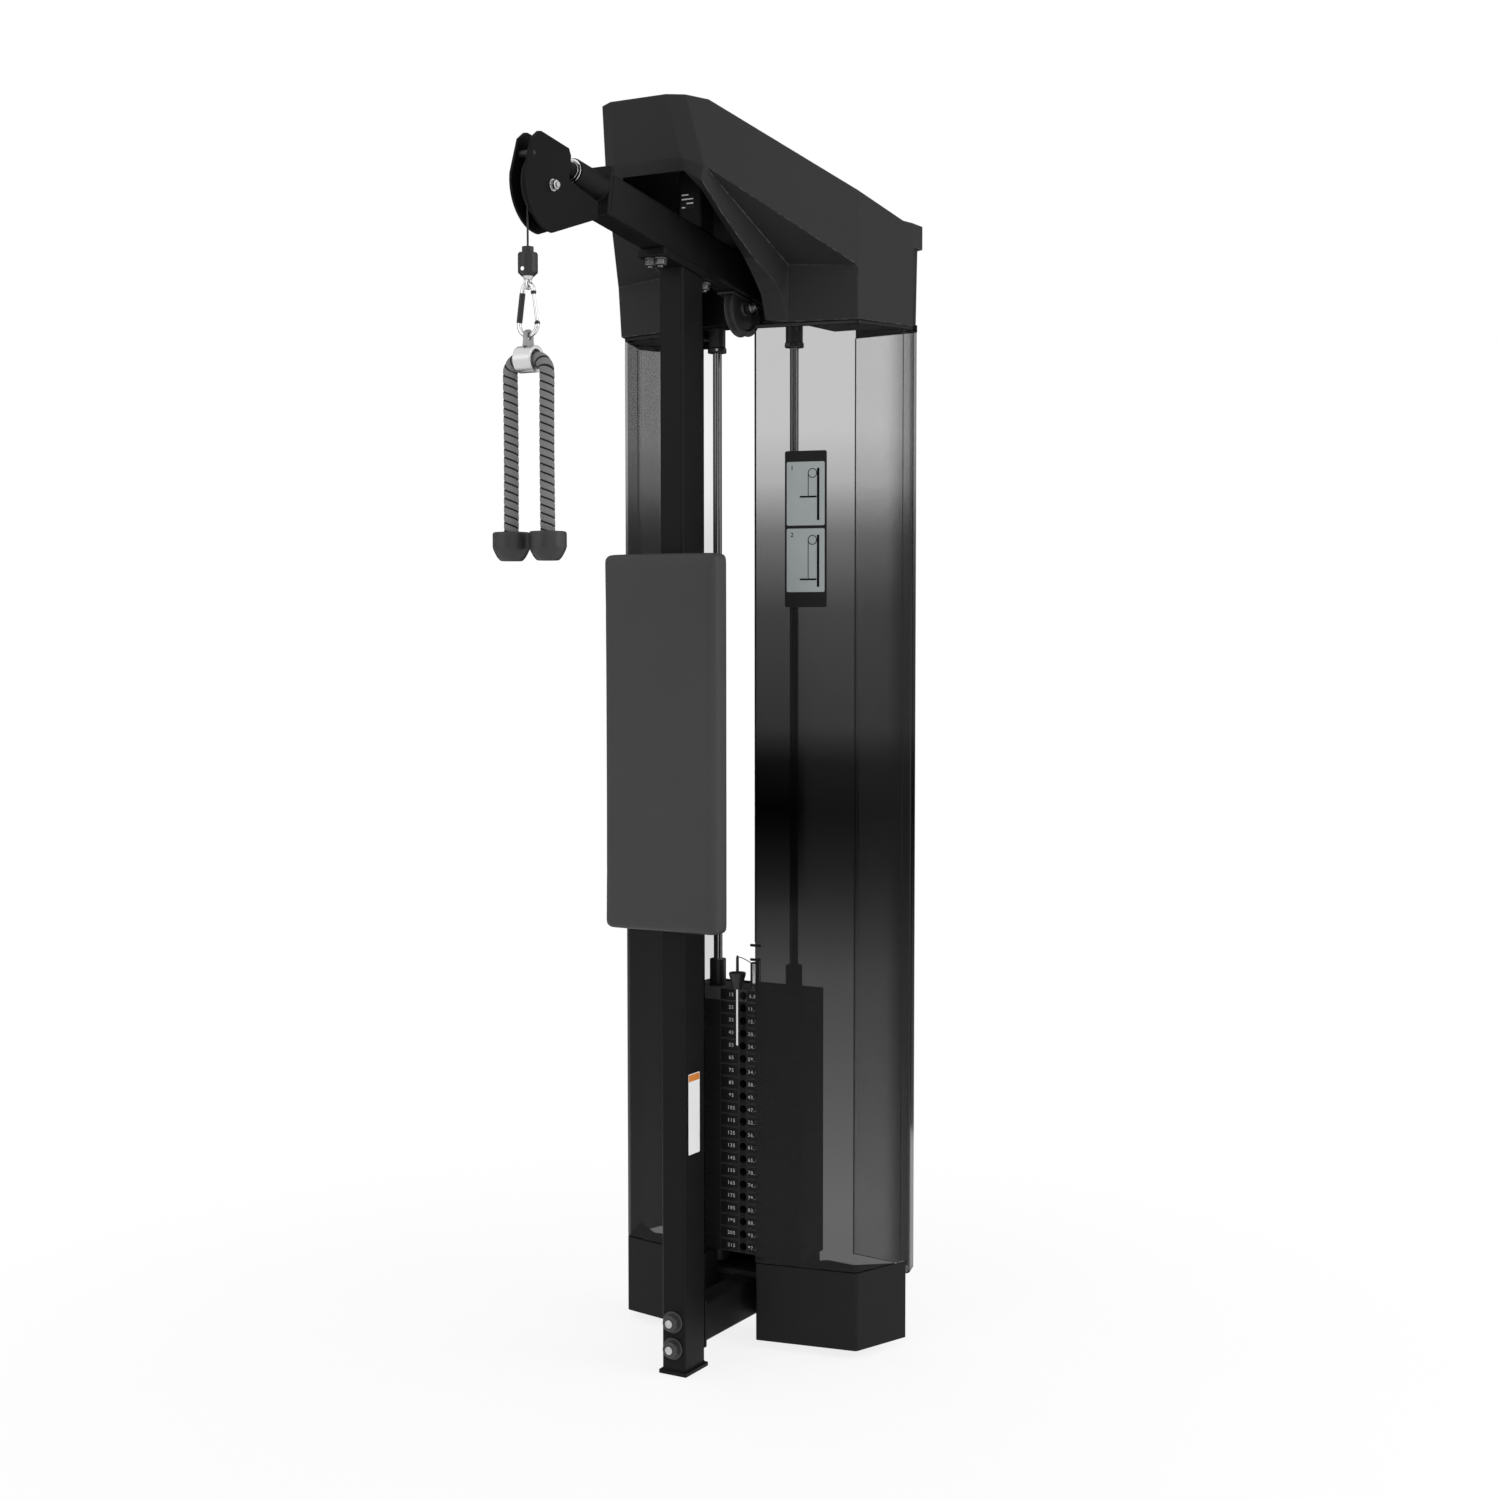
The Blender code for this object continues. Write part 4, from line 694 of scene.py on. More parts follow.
def addBox(bm, low, high, matrix=None, radius=0.0, axis=None, segments=4):
    # a block; with a radius, its edges along one axis are rounded
    before = set(bm.verts)
    made = bmesh.ops.create_cube(bm, size=1.0)["verts"]
    low, high = Vector(low), Vector(high)
    bmesh.ops.scale(bm, vec=high - low, verts=made)
    bmesh.ops.translate(bm, vec=(low + high) / 2, verts=made)
    if radius:
        size = high - low
        thin = min(range(3), key=lambda k: size[k]) if axis is None else axis
        edges = {e for v in made for e in v.link_edges if abs((e.verts[0].co - e.verts[1].co)[thin]) > 1e-6}
        bmesh.ops.bevel(
            bm, geom=list(edges), offset=radius, segments=segments, affect="EDGES", profile=0.5, material=-1,
        )
    placed(bm, before, matrix)


def addRod(bm, start, end, radius, segments=32, endRadius=None):
    start, end = Vector(start), Vector(end)
    line = end - start
    turn = Vector((0, 0, 1)).rotation_difference(line.normalized()).to_matrix().to_4x4()
    bmesh.ops.create_cone(
        bm, cap_ends=True, segments=segments, radius1=radius,
        radius2=radius if endRadius is None else endRadius,
        depth=line.length, matrix=Matrix.Translation((start + end) / 2) @ turn,
    )


def addTurned(bm, profile, matrix, steps=56):
    # a profile of radius and height spun about Z; one with no point on the axis is closed as a ring
    before = set(bm.verts)
    dots = [bm.verts.new((r, 0, z)) for r, z in profile]
    edges = [bm.edges.new(pair) for pair in zip(dots, dots[1:])]
    if min(r for r, _ in profile) > 0:
        edges.append(bm.edges.new((dots[-1], dots[0])))
    bmesh.ops.spin(
        bm, geom=dots + edges, cent=(0, 0, 0), axis=(0, 0, 1), angle=tau, steps=steps, use_merge=True,
    )
    placed(bm, before, matrix)


def pullUp(bm, grown, tall):
    top = [part for part in grown["geom"] if isinstance(part, bmesh.types.BMVert)]
    bmesh.ops.translate(bm, vec=(0, 0, tall), verts=top)


def addPlate(bm, outline, low, high, matrix=None):
    # flat stock: an outline filled and pulled up to its thickness
    before = set(bm.verts)
    face = bm.faces.new([bm.verts.new((x, y, low)) for x, y in outline])
    pullUp(bm, bmesh.ops.extrude_face_region(bm, geom=[face]), high - low)
    placed(bm, before, matrix)


def arcPoints(centre, radius, start, end, steps):
    angles = [math.radians(start + (end - start) * k / steps) for k in range(steps + 1)]
    return [(centre[0] + radius * math.cos(a), centre[1] + radius * math.sin(a)) for a in angles]


def roundedOutline(wide, deep, radius, steps=5):
    points = []
    for quarter, (sx, sy) in enumerate(((1, 1), (-1, 1), (-1, -1), (1, -1))):
        middle = (sx * (wide / 2 - radius), sy * (deep / 2 - radius))
        points += arcPoints(middle, radius, 90 * quarter, 90 * quarter + 90, steps)
    return points


def filleted(points, radius, steps=5):
    # an open line of plan points with its corners rounded
    line = [Vector(p) for p in points]
    soft = [line[0]]
    for k in range(1, len(line) - 1):
        here = line[k]
        back, ahead = (line[k - 1] - here), (line[k + 1] - here)
        reach = min(radius, 0.42 * back.length, 0.42 * ahead.length)
        a, b = here + back.normalized() * reach, here + ahead.normalized() * reach
        for step in range(steps + 1):
            t = step / steps
            soft.append(a.lerp(here, t).lerp(here.lerp(b, t), t))
    return soft + [line[-1]]


def addWall(bm, points, low, high, closed=False):
    verts = [bm.verts.new((p[0], p[1], low)) for p in points]
    ends = verts[1:] + verts[:1] if closed else verts[1:]
    edges = [bm.edges.new(pair) for pair in zip(verts, ends)]
    pullUp(bm, bmesh.ops.extrude_edge_only(bm, edges=edges), high - low)


def addSweep(bm, points, across, radius, segments=20, closed=False, profile=None, twist=0.0, uvName=None):
    # a round bar along a flat curve; across is square to the curve's plane
    # a profile gives (angle, radius) pairs instead of one radius
    across = Vector(across)
    shape = profile or [(tau * k / segments, radius) for k in range(segments)]
    count = len(points)
    rings, distances, travelled = [], [], 0.0
    for k, point in enumerate(points):
        here = Vector(point)
        if k:
            travelled += (here - Vector(points[k - 1])).length
        before = Vector(points[k - 1]) if k or closed else here
        after = Vector(points[(k + 1) % count]) if k < count - 1 or closed else here
        forward = (after - before).normalized()
        side = forward.cross(across).normalized()
        ring = []
        for angle, reach in shape:
            a = angle + twist * travelled
            ring.append(bm.verts.new(here + across * (reach * math.cos(a)) + side * (reach * math.sin(a))))
        rings.append(ring)
        distances.append(travelled)
    layer = bm.loops.layers.uv.new(uvName) if uvName else None
    pairs = list(zip(range(count), range(1, count))) + ([(count - 1, 0)] if closed else [])
    size = len(shape)
    for a, b in pairs:
        for j in range(size):
            n = (j + 1) % size
            face = bm.faces.new((rings[a][j], rings[a][n], rings[b][n], rings[b][j]))
            if layer:
                angles = [shape[j][0], shape[j][0], shape[j][0], shape[j][0]]
                angles[1] = angles[2] = shape[n][0] if n else tau
                lengths = (distances[a], distances[a], distances[b], distances[b])
                for loop, angle, length in zip(face.loops, angles, lengths):
                    loop[layer].uv = (angle / tau, length)
    if not closed:
        bm.faces.new(rings[0][::-1])
        bm.faces.new(rings[-1])


def settle(name, mesh, material):
    piece = bpy.data.objects.new(name, mesh)
    shop.collection.objects.link(piece)
    if material is not None:
        mesh.materials.append(material)
    return piece


def finishedMesh(piece):
    bpy.context.view_layer.update()
    seen = piece.evaluated_get(bpy.context.evaluated_depsgraph_get())
    return bpy.data.meshes.new_from_object(seen)


def bakeDown(piece):
    # modifiers applied, on a mesh of the piece's own
    mesh = finishedMesh(piece)
    piece.modifiers.clear()
    piece.data = mesh


def carve(piece, tool):
    # tool is a bmesh that is cut away
    bmesh.ops.recalc_face_normals(tool, faces=tool.faces)
    cutter = settle("tool", newMesh("tool", tool), None)
    step = piece.modifiers.new("carve", "BOOLEAN")
    step.operation = "DIFFERENCE"
    step.solver = "EXACT"
    step.object = cutter
    bakeDown(piece)
    bpy.data.objects.remove(cutter, do_unlink=True)


def shade(piece, angle=32.0):
    piece.data.shade_smooth()
    piece.data.set_sharp_from_angle(angle=math.radians(angle))


def build(name, bm, material, body="frame", stands=(), soft=0.0, steps=2, wall=0.0, cuts=(), angle=32.0,
          outward=True, rim=None):
    # the usual way from a bmesh to a finished piece of the station
    bmesh.ops.remove_doubles(bm, verts=bm.verts, dist=0.00002)
    if outward:
        bmesh.ops.recalc_face_normals(bm, faces=bm.faces)
    mesh = newMesh(name, bm)
    piece = settle(name, mesh, material)
    if wall:
        thick = piece.modifiers.new("wall", "SOLIDIFY")
        thick.thickness = wall
        thick.offset = -1.0
        thick.use_even_offset = True
        if rim:
            mesh.materials.append(rim)
            thick.material_offset_rim = 1
    if cuts:
        if wall:
            bakeDown(piece)
        for tool in cuts:
            carve(piece, tool)
    if soft:
        edge = piece.modifiers.new("soft", "BEVEL")
        edge.width = soft
        edge.segments = steps
        edge.limit_method = "ANGLE"
        edge.angle_limit = math.radians(30)
        edge.miter_outer = "MITER_ARC"
    shade(piece, angle)
    flat = piece.modifiers.new("flat faces", "WEIGHTED_NORMAL")
    flat.keep_sharp = True
    if body:
        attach(piece, body)
    if stands:
        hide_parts(*stands)
    return piece


def nutAndWasher(bm, face, line, radius, tall, washer, thin, stud, studProud):
    # flange nut on its washer, with the end of the stud standing proud
    face, line = Vector(face), Vector(line).normalized()
    addRod(bm, face, face + line * thin, washer, 40)
    top = face + line * (thin + tall)
    addRod(bm, face + line * thin, top - line * tall * 0.12, radius, 6)
    addRod(bm, top - line * tall * 0.12, top, radius * 0.985, 24, endRadius=radius * 0.80)
    if stud:
        addRod(bm, top, top + line * studProud, stud, 24)


# ---- rope first, then the rest of the cable end

pulleyLook = {
    "radius": 0.057, "wide": 0.020, "groove": 0.0475, "pitch": 0.050, "axle": 0.0048, "bore": 0.0053,
    "swivelRise": 0.012, "frontAlong": -0.4381, "rear": (0.2285, 2.047),
}
frontWheel = boomPoint(pulleyLook["frontAlong"], pulleyLook["swivelRise"] - pulleyLook["pitch"])
dropY = frontWheel.y - pulleyLook["pitch"]


def neckPoint(s):
    # on the swivel's own line, which the cable follows too
    return boomPoint(s, pulleyLook["swivelRise"])


def smoothRoute(points, perSpan):
    places = [Vector(p) for p in points]
    places = [2 * places[0] - places[1]] + places + [2 * places[-1] - places[-2]]
    route = []
    for k in range(1, len(places) - 2):
        a, b, c, d = places[k - 1:k + 3]
        for step in range(perSpan):
            t = step / perSpan
            square, cube = 2 * a - 5 * b + 4 * c - d, 3 * b - a - 3 * c + d
            route.append(0.5 * (2 * b + (c - a) * t + square * t * t + cube * t ** 3))
    return route + [places[-2]]


def evenSteps(points, step):
    # the same line in steps of nearly one length
    lengths = [0.0]
    for a, b in zip(points, points[1:]):
        lengths.append(lengths[-1] + (b - a).length)
    count = max(2, round(lengths[-1] / step))
    result, k = [], 0
    for n in range(count + 1):
        want = lengths[-1] * n / count
        while k < len(points) - 2 and lengths[k + 1] < want:
            k += 1
        span = lengths[k + 1] - lengths[k]
        result.append(points[k].lerp(points[k + 1], (want - lengths[k]) / span))
    return result, lengths[-1]


def ropeRoute():
    x, low, bend, crown = (ropeLook[k] for k in ("legX", "low", "bend", "crown"))
    leg = [(x, low), (x - 0.0004, 1.640), (x - 0.0008, 1.710), (x - 0.0006, 1.780)]
    side = leg + [(x - 0.0001, 1.825)] + arcPoints((x - bend, crown - bend), bend, 0, 90, 4)
    route = [(-px, dropY, z) for px, z in side] + [(0, dropY, crown)]
    route += [(px, dropY, z) for px, z in reversed(side)]
    return smoothRoute(route, 10)


def ropeSection():
    # one ring of the rope: round strands with a narrow groove between each two
    around = []
    share = tau / ropeLook["strands"]
    steps = [0.0, 0.07, 0.14, 0.21, 0.29, 0.40, 0.55, 0.80, 1.10, 1.40]
    for strand in range(ropeLook["strands"]):
        for offset in steps + [share - s for s in reversed(steps[1:])]:
            near = min(offset, share - offset)
            dip = ropeLook["grooveDeep"] * math.exp(-((near / ropeLook["grooveWide"]) ** 2))
            belly = 0.00035 * (1 - math.sin(math.pi * offset / share))
            around.append((strand * share + offset, ropeLook["radius"] - dip - belly))
    return around


def makeRope():
    line, length = evenSteps(ropeRoute(), ropeLook["step"])
    bm = shaped(
        addSweep, line, (0, 1, 0), ropeLook["radius"], profile=ropeSection(),
        twist=-tau / ropeLook["lay"], uvName="lay",
    )
    layer = bm.loops.layers.uv["lay"]
    for face in bm.faces:
        for loop in face.loops:
            u, v = loop[layer].uv
            loop[layer].uv = (u * ropeLook["strands"], v)
    piece = build("rope_laid", bm, ropeFibre, "rope_body", ["triceps_rope"], angle=80)
    return piece, line, length


ropeEndLook = {"radius": 0.0318, "low": 1.5345, "gap": 0.0003, "mouth": 0.0136}


def makeRopeEnds():
    top, low = ropeLook["low"] - ropeEndLook["gap"], ropeEndLook["low"]
    big, mouth = ropeEndLook["radius"], ropeEndLook["mouth"]
    profile = [
        (0, top - 0.0002), (mouth, top - 0.0002), (mouth + 0.0012, top), (big - 0.0034, top),
        (big - 0.0010, top - 0.0010), (big, top - 0.0036), (big, low + 0.0230), (big - 0.0016, low + 0.0180),
        (big - 0.0042, low + 0.0125), (big - 0.0075, low + 0.0065), (big - 0.0105, low + 0.0028),
        (big - 0.0130, low + 0.0004), (big - 0.0150, low), (0, low),
    ]
    ends = []
    for hand, x in (("left", -ropeLook["legX"]), ("right", ropeLook["legX"])):
        bm = shaped(addTurned, profile, Matrix.Translation((x, dropY, 0)), steps=72)
        node = "rope_end_" + hand
        ends.append(build(
            "rubber_end_" + hand, bm, rubberFinish, "rope_body", [node], soft=0.0006, angle=40,
        ))
    return ends


carabinerLook = {
    "wire": 0.0038, "topBend": 0.0105, "bottomBend": 0.0185, "bottom": 1.911,
    "gateWire": 0.0026, "gateLow": 1.9332, "gateHigh": 1.9800, "sleeve": (1.933, 1.982), "clear": 0.0013,
}
stopLook = {
    "top": 2.0585, "bottom": 2.0095, "body": 0.0168, "neck": 0.0098, "eye": 0.0085, "eyeWire": 0.0028,
    "shank": 0.003, "screwHeight": 2.0205, "eyeNarrow": 0.82,
}
eyeCentre = stopLook["bottom"] - stopLook["shank"] - stopLook["eye"]
carabinerTop = eyeCentre - stopLook["eye"] + stopLook["eyeWire"] + carabinerLook["wire"] + 0.0009


def carabinerGeometry():
    top = carabinerTop - carabinerLook["topBend"]
    bottom = carabinerLook["bottom"] + carabinerLook["bottomBend"]
    lean = math.asin((carabinerLook["bottomBend"] - carabinerLook["topBend"]) / (top - bottom))
    return lean, top, bottom


def carabinerSide(z):
    lean, _, bottom = carabinerGeometry()
    x = (carabinerLook["bottomBend"] - (z - bottom) * math.sin(lean)) / math.cos(lean)
    return Vector((x, dropY, z))


def makeCarabiner():
    lean, top, bottom = carabinerGeometry()
    tip = math.degrees(lean)
    upper = arcPoints((0, top), carabinerLook["topBend"], tip, 180 - tip, 24)
    lower = arcPoints((0, bottom), carabinerLook["bottomBend"], 180 - tip, 360 + tip, 36)
    high, low = carabinerSide(carabinerLook["gateHigh"]), carabinerSide(carabinerLook["gateLow"])
    line = [high] + [(x, dropY, z) for x, z in upper + lower] + [low]
    bm = shaped(addSweep, line, (0, 1, 0), carabinerLook["wire"], 24)
    build(
        "carabiner_hook", bm, chromeFinish, "carabiner_body", ["carabiner"], soft=0.0006, angle=50,
    )
    bm = bmesh.new()
    left = [carabinerSide(z) * Vector((-1, 1, 1)) for z in carabinerLook["sleeve"]]
    addRod(bm, left[0], left[1], carabinerLook["wire"] + 0.0012, 32)
    for end, other in ((high, low), (low, high)):
        line = (end - other).normalized()
        addRod(bm, end - line * 0.00005, end + line * 0.0046, carabinerLook["wire"] + 0.0008, 32)
    build("carabiner_sleeve", bm, nylonFinish, "carabiner_body", soft=0.0005)
    bm = bmesh.new()
    gateLow = carabinerSide(carabinerLook["gateLow"] + carabinerLook["clear"])
    gateHigh = carabinerSide(carabinerLook["gateHigh"] - 0.0006)
    line = (gateHigh - gateLow).normalized()
    addRod(bm, gateLow, gateHigh, carabinerLook["gateWire"], 28)
    for at, reach in ((0.0004, 0.0032), (0.0042, 0.0046)):
        addRod(bm, gateLow + line * at, gateLow + line * reach, carabinerLook["gateWire"] + 0.0004, 28)
    build("carabiner_gate_bar", bm, chromeFinish, "gate_body", ["carabiner_gate"], soft=0.0004)


def makeCableStop():
    top, bottom, body, neck = (stopLook[k] for k in ("top", "bottom", "body", "neck"))
    profile = [
        (0, top), (neck, top), (neck, top - 0.010), (body - 0.0015, top - 0.010), (body, top - 0.0125),
        (body, bottom + 0.006), (body - 0.006, bottom), (0, bottom),
    ]
    bm = shaped(addTurned, profile, Matrix.Translation((0, dropY, 0)))
    hole = bmesh.new()
    height = stopLook["screwHeight"]
    addRod(hole, (0, dropY - 0.03, height), (0, dropY - body + 0.0022, height), 0.0042, 28)
    build("stop_body", bm, nylonFinish, "cable_end", ["cable_stop"], soft=0.0009, cuts=[hole])
    bm = shaped(addRod, (0, dropY - body + 0.0026, height), (0, dropY - body + 0.0006, height), 0.0039, 28)
    build("stop_screw", bm, chromeFinish, "cable_end", soft=0.0005)
    bm = bmesh.new()
    shankEnd = eyeCentre + stopLook["eye"] - stopLook["eyeWire"]
    high, low = bottom + 0.0002, shankEnd + 0.0004
    shank = [(0, high), (0.0095, high), (0.0068, low), (0, low)]
    addTurned(bm, shank, Matrix.Translation((0, dropY, 0)), steps=40)
    ring = [
        (0, dropY + (y - dropY) * stopLook["eyeNarrow"], z)
        for y, z in arcPoints((dropY, eyeCentre), stopLook["eye"], 0, 352, 44)
    ]
    addSweep(bm, ring, (1, 0, 0), stopLook["eyeWire"], 20, closed=True)
    build("stop_eye", bm, satinNickel, "cable_end", angle=50)


collarLook = {
    "radius": 0.0225, "bore": 0.0160, "half": 0.0180, "tabThick": 0.006, "tabHalf": 0.0115, "hole": 0.006,
    "tabFoot": 0.0142,
}


def makeCollar():
    half, outer, bore = collarLook["half"], collarLook["radius"], collarLook["bore"]
    crown = ropeLook["crown"]
    profile = [(bore, half), (bore, -half), (outer, -half), (outer, half)]
    bm = shaped(addTurned, profile, Matrix.Translation((0, dropY, crown)) @ lieX, steps=96)
    build("collar_ring", bm, satinNickel, "rope_body", ["rope_collar"], soft=0.0014, steps=3)
    holeZ = carabinerLook["bottom"] - collarLook["hole"] + carabinerLook["wire"] + 0.0009
    wide, thick = collarLook["tabHalf"], collarLook["tabThick"] / 2
    foot = outer * 0.94
    base = crown - holeZ + foot
    splay = collarLook["tabFoot"]
    outline = [(-splay, base), (splay, base), (splay * 0.90, base + 0.004), (wide, base + 0.010)]
    outline += arcPoints((0, 0), wide, 0, 180, 28) + [(-wide, base + 0.010), (-splay * 0.90, base + 0.004)]
    bm = shaped(addPlate, outline, -thick, thick, Matrix.Translation((0, dropY, holeZ)) @ sideOn)
    hole = shaped(addRod, (-0.02, dropY, holeZ), (0.02, dropY, holeZ), collarLook["hole"], 40)
    build("collar_tab", bm, mattTab, "rope_body", soft=0.0007, cuts=[hole])


print("rope and cable end")
rope, ropeLine, ropeLength = makeRope()
ropeEnds = makeRopeEnds()
makeCarabiner()
makeCableStop()
makeCollar()


# ---- pulley head and swivel

headLook = {
    "thick": 0.005, "inner": 0.0115, "sleeveRadius": 0.0242, "sleeveBore": 0.0204, "sleeveFront": -0.366,
    "plateThick": 0.010, "plateTop": 0.050, "tubeRadius": 0.0198, "tubeBore": 0.0120, "tubeRear": -0.300,
    "neckFront": -0.3917,
    "studAt": (-0.0535, 0.0445), "studRadius": 0.0060,  # spacer between the cheeks, about the wheel's centre
    "neck": 0.0148, "ringA": (0.0183, 0.0218), "ringB": (0.0148, 0.0170),
}


def cheekOutline():
    front = arcPoints((0, 0), 0.0795, 172, 270, 28)
    rear = [(0.136, -0.035), (0.137, -0.005), (0.0495, 0.018), (0.056, 0.059), (0.050, 0.071)]
    return front + rear + [(-0.031, 0.0845), (-0.040, 0.083), (-0.058, 0.070)]


def makeWheel(name, centre, body, node):
    rim, half, bore = pulleyLook["radius"], pulleyLook["wide"] / 2, pulleyLook["bore"]
    groove = pulleyLook["groove"]
    upper = [
        (bore, half), (0.0140, half), (0.0165, half * 0.52), (0.0425, half * 0.48), (0.0458, half),
        (rim - 0.0016, half), (rim - 0.0003, half - 0.0010), (rim - 0.0004, half - 0.0022),
        (groove + 0.0030, 0.0036), (groove + 0.0006, 0.0022), (groove, 0.0),
    ]
    profile = upper + [(r, -z) for r, z in reversed(upper[:-1])]
    bm = shaped(addTurned, profile, Matrix.Translation(centre) @ lieX, steps=96)
    build(name, bm, wheelNylon, body, [node], soft=0.0005)


def makeAxle(name, centre, body, node, inner):
    # hex head on the left, washer and nut on the right
    seat = inner + headLook["thick"] + clearance
    right = centre + Vector((seat, 0, 0))
    left = centre - Vector((seat, 0, 0))
    bm = shaped(addRod, left, right, pulleyLook["axle"], 24)
    addRod(bm, left, left - Vector((0.0012, 0, 0)), 0.0100, 32)
    addRod(bm, left - Vector((0.0012, 0, 0)), left - Vector((0.0060, 0, 0)), 0.0085, 6)
    nutAndWasher(bm, right, (1, 0, 0), 0.0085, 0.0075, 0.0105, 0.0016, pulleyLook["axle"], 0.003)
    build(name, bm, zincFinish, body, [node], soft=0.0005)


def makeHead():
    wheel = frontWheel
    for side, hand in hands:
        low = min(side * headLook["inner"], side * (headLook["inner"] + headLook["thick"]))
        bm = shaped(
            addPlate, cheekOutline(), low, low + headLook["thick"],
            Matrix.Translation((0, wheel.y, wheel.z)) @ sideOn,
        )
        build("head_cheek_" + hand, bm, shadedPowderCoat, "pulley_head", ["pulley_cheek_" + hand],
              soft=0.0010, angle=25)
    makeWheel("front_wheel", wheel, "front_pulley_body", "front_pulley")
    makeAxle("front_axle", wheel, "pulley_head", "front_pulley_bolt", headLook["inner"])
    y, z = headLook["studAt"]
    at = wheel + Vector((0, y, z))
    reach = Vector((headLook["inner"] - 0.0001, 0, 0))
    bm = shaped(addRod, at - reach, at + reach, headLook["studRadius"], 28)
    for side in (-1, 1):
        face = at + Vector((side * (headLook["inner"] + headLook["thick"]), 0, 0))
        addRod(bm, face - Vector((side * 0.001, 0, 0)), face + Vector((side * 0.0007, 0, 0)), 0.0034, 24)
    build("head_spacer", bm, blackSteel, "pulley_head", soft=0.0003)


def makeSwivel():
    k = headLook
    rearFace = boomLook["front"] - clearance
    front = rearFace - k["plateThick"]
    half = tubeLook["wide"] / 2
    bm = shaped(
        addBox, (-half, front, -tubeLook["deep"] / 2), (half, rearFace, k["plateTop"]), boomFrame,
        radius=0.004, axis=1,
    )
    bore = bmesh.new()
    addRod(bore, neckPoint(front - 0.02), neckPoint(rearFace + 0.02), k["sleeveBore"], 64)
    build(
        "nose_plate", bm, powderCoat, stands=["swivel_sleeve"], soft=0.0012, cuts=[bore],
        angle=25,
    )
    bm = bmesh.new()
    place = Matrix.Translation(neckPoint(k["sleeveFront"])) @ boomFrame.to_3x3().to_4x4() @ lieY
    length = front - k["sleeveFront"]
    addTurned(
        bm, [
            (k["sleeveBore"], 0), (k["sleeveRadius"], 0), (k["sleeveRadius"], length - 0.0030),
            (k["sleeveRadius"] + 0.0026, length), (k["sleeveBore"], length),
        ],
        place, steps=72,
    )
    build("nose_sleeve", bm, powderCoat, "frame", soft=0.0009, angle=40)
    # the barrel ends in two bright rings at the sleeve's mouth, on a dark neck that carries the cheeks;
    # barrel and neck take the powder coat's darker copy with painted shade
    mouth = k["sleeveFront"] - clearance
    turn = boomFrame.to_3x3().to_4x4() @ lieY

    def alongNeck(name, material, pieces, stands=()):
        bm = bmesh.new()
        for inner, outer, near, far in pieces:
            place = Matrix.Translation(neckPoint(near)) @ turn
            addTurned(bm, [(inner, 0), (outer, 0), (outer, far - near), (inner, far - near)], place, steps=72)
        build(name, bm, material, "pulley_head", stands, soft=0.0004)

    bore, (innerA, outerA), (innerB, outerB) = k["tubeBore"], k["ringA"], k["ringB"]
    alongNeck("swivel_rings", chromeFinish, [
        (innerA, outerA, mouth - 0.0030, mouth), (innerB + 0.0001, outerB, mouth - 0.0046, mouth - 0.0021),
    ])
    alongNeck("swivel_barrel", shadedPowderCoat, [
        (bore, k["tubeRadius"], mouth + 0.0001, k["tubeRear"]),
        (bore, innerA - 0.0001, mouth - 0.0020, mouth), (bore, k["neck"], k["neckFront"], mouth - 0.0020),
    ], ["swivel_tube"])


cableLook = {"radius": 0.0018, "stop": 2.0585, "stemTop": 0.790, "stackY": 0.2785}


def makeCables():
    r, pitch = cableLook["radius"], pulleyLook["pitch"]
    over = arcPoints((frontWheel.y, frontWheel.z), pitch, 180, 81, 40)
    bm = shaped(addSweep, [(0, y, z) for y, z in over] + [tuple(neckPoint(-0.300))], (1, 0, 0), r, 16)
    build("cable_wrap", bm, cableSheath, "pulley_head", ["cable_front_wrap"], angle=60)
    rearY, rearZ = pulleyLook["rear"]
    start = neckPoint(-0.2997)
    line = Vector((start.y - rearY, start.z - rearZ))
    lean = math.atan2(line.y, line.x) - math.acos(pitch / line.length)
    over = arcPoints((rearY, rearZ), pitch, math.degrees(lean), 0, 40)
    bm = shaped(addSweep, [tuple(start)] + [(0, y, z) for y, z in over], (1, 0, 0), r, 16)
    build("cable_inner", bm, cableSheath, "frame", ["cable_boom_run"], angle=60)
    low, high = cableLook["stop"] + clearance, frontWheel.z - clearance
    bm = bmesh.new()
    rows = 14
    addSweep(bm, [(0, dropY, high + (low - high) * n / rows) for n in range(rows + 1)], (1, 0, 0), r, 16)
    drop = build("cable_drop_front", bm, cableSheath, None, ["cable_front_drop"], angle=60)
    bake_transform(drop)
    low, high = cableLook["stemTop"] + clearance, rearZ - clearance
    bm = bmesh.new()
    y = cableLook["stackY"]
    rows = 60
    addSweep(bm, [(0, y, high + (low - high) * n / rows) for n in range(rows + 1)], (1, 0, 0), r, 16)
    drop = build("cable_drop_rear", bm, cableSheath, None, ["cable_rear_drop"], angle=60)
    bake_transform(drop)


print("pulley head")
makeHead()
makeSwivel()
makeCables()


# ---- frame: post, boom, base

frameLook = {
    "footOver": (0.0051, 0.0034), "footThick": 0.008, "boltHeights": (0.0515, 0.1025),
    "plateThick": 0.0148, "plateHalf": 0.100, "plateWide": 0.060,
    "beamBottom": 0.0453, "flange": (0.034, 0.128), "flangeThick": 0.006, "crossHalf": 0.262,
    "crossFront": 0.241, "footX": 0.205, "footY": 0.2785, "basePlateThick": 0.0117, "studRadius": 0.0078,
    "nutTall": 0.0115, "washerThick": 0.003, "studProud": 0.003, "wellReach": 0.060, "wellHalf": 0.013,
}


def addTubeWall(bm, low, high, matrix, wide=tubeLook["wide"], deep=tubeLook["deep"]):
    before = set(bm.verts)
    addWall(bm, roundedOutline(wide, deep, tubeLook["corner"]), low, high, closed=True)
    placed(bm, before, matrix)


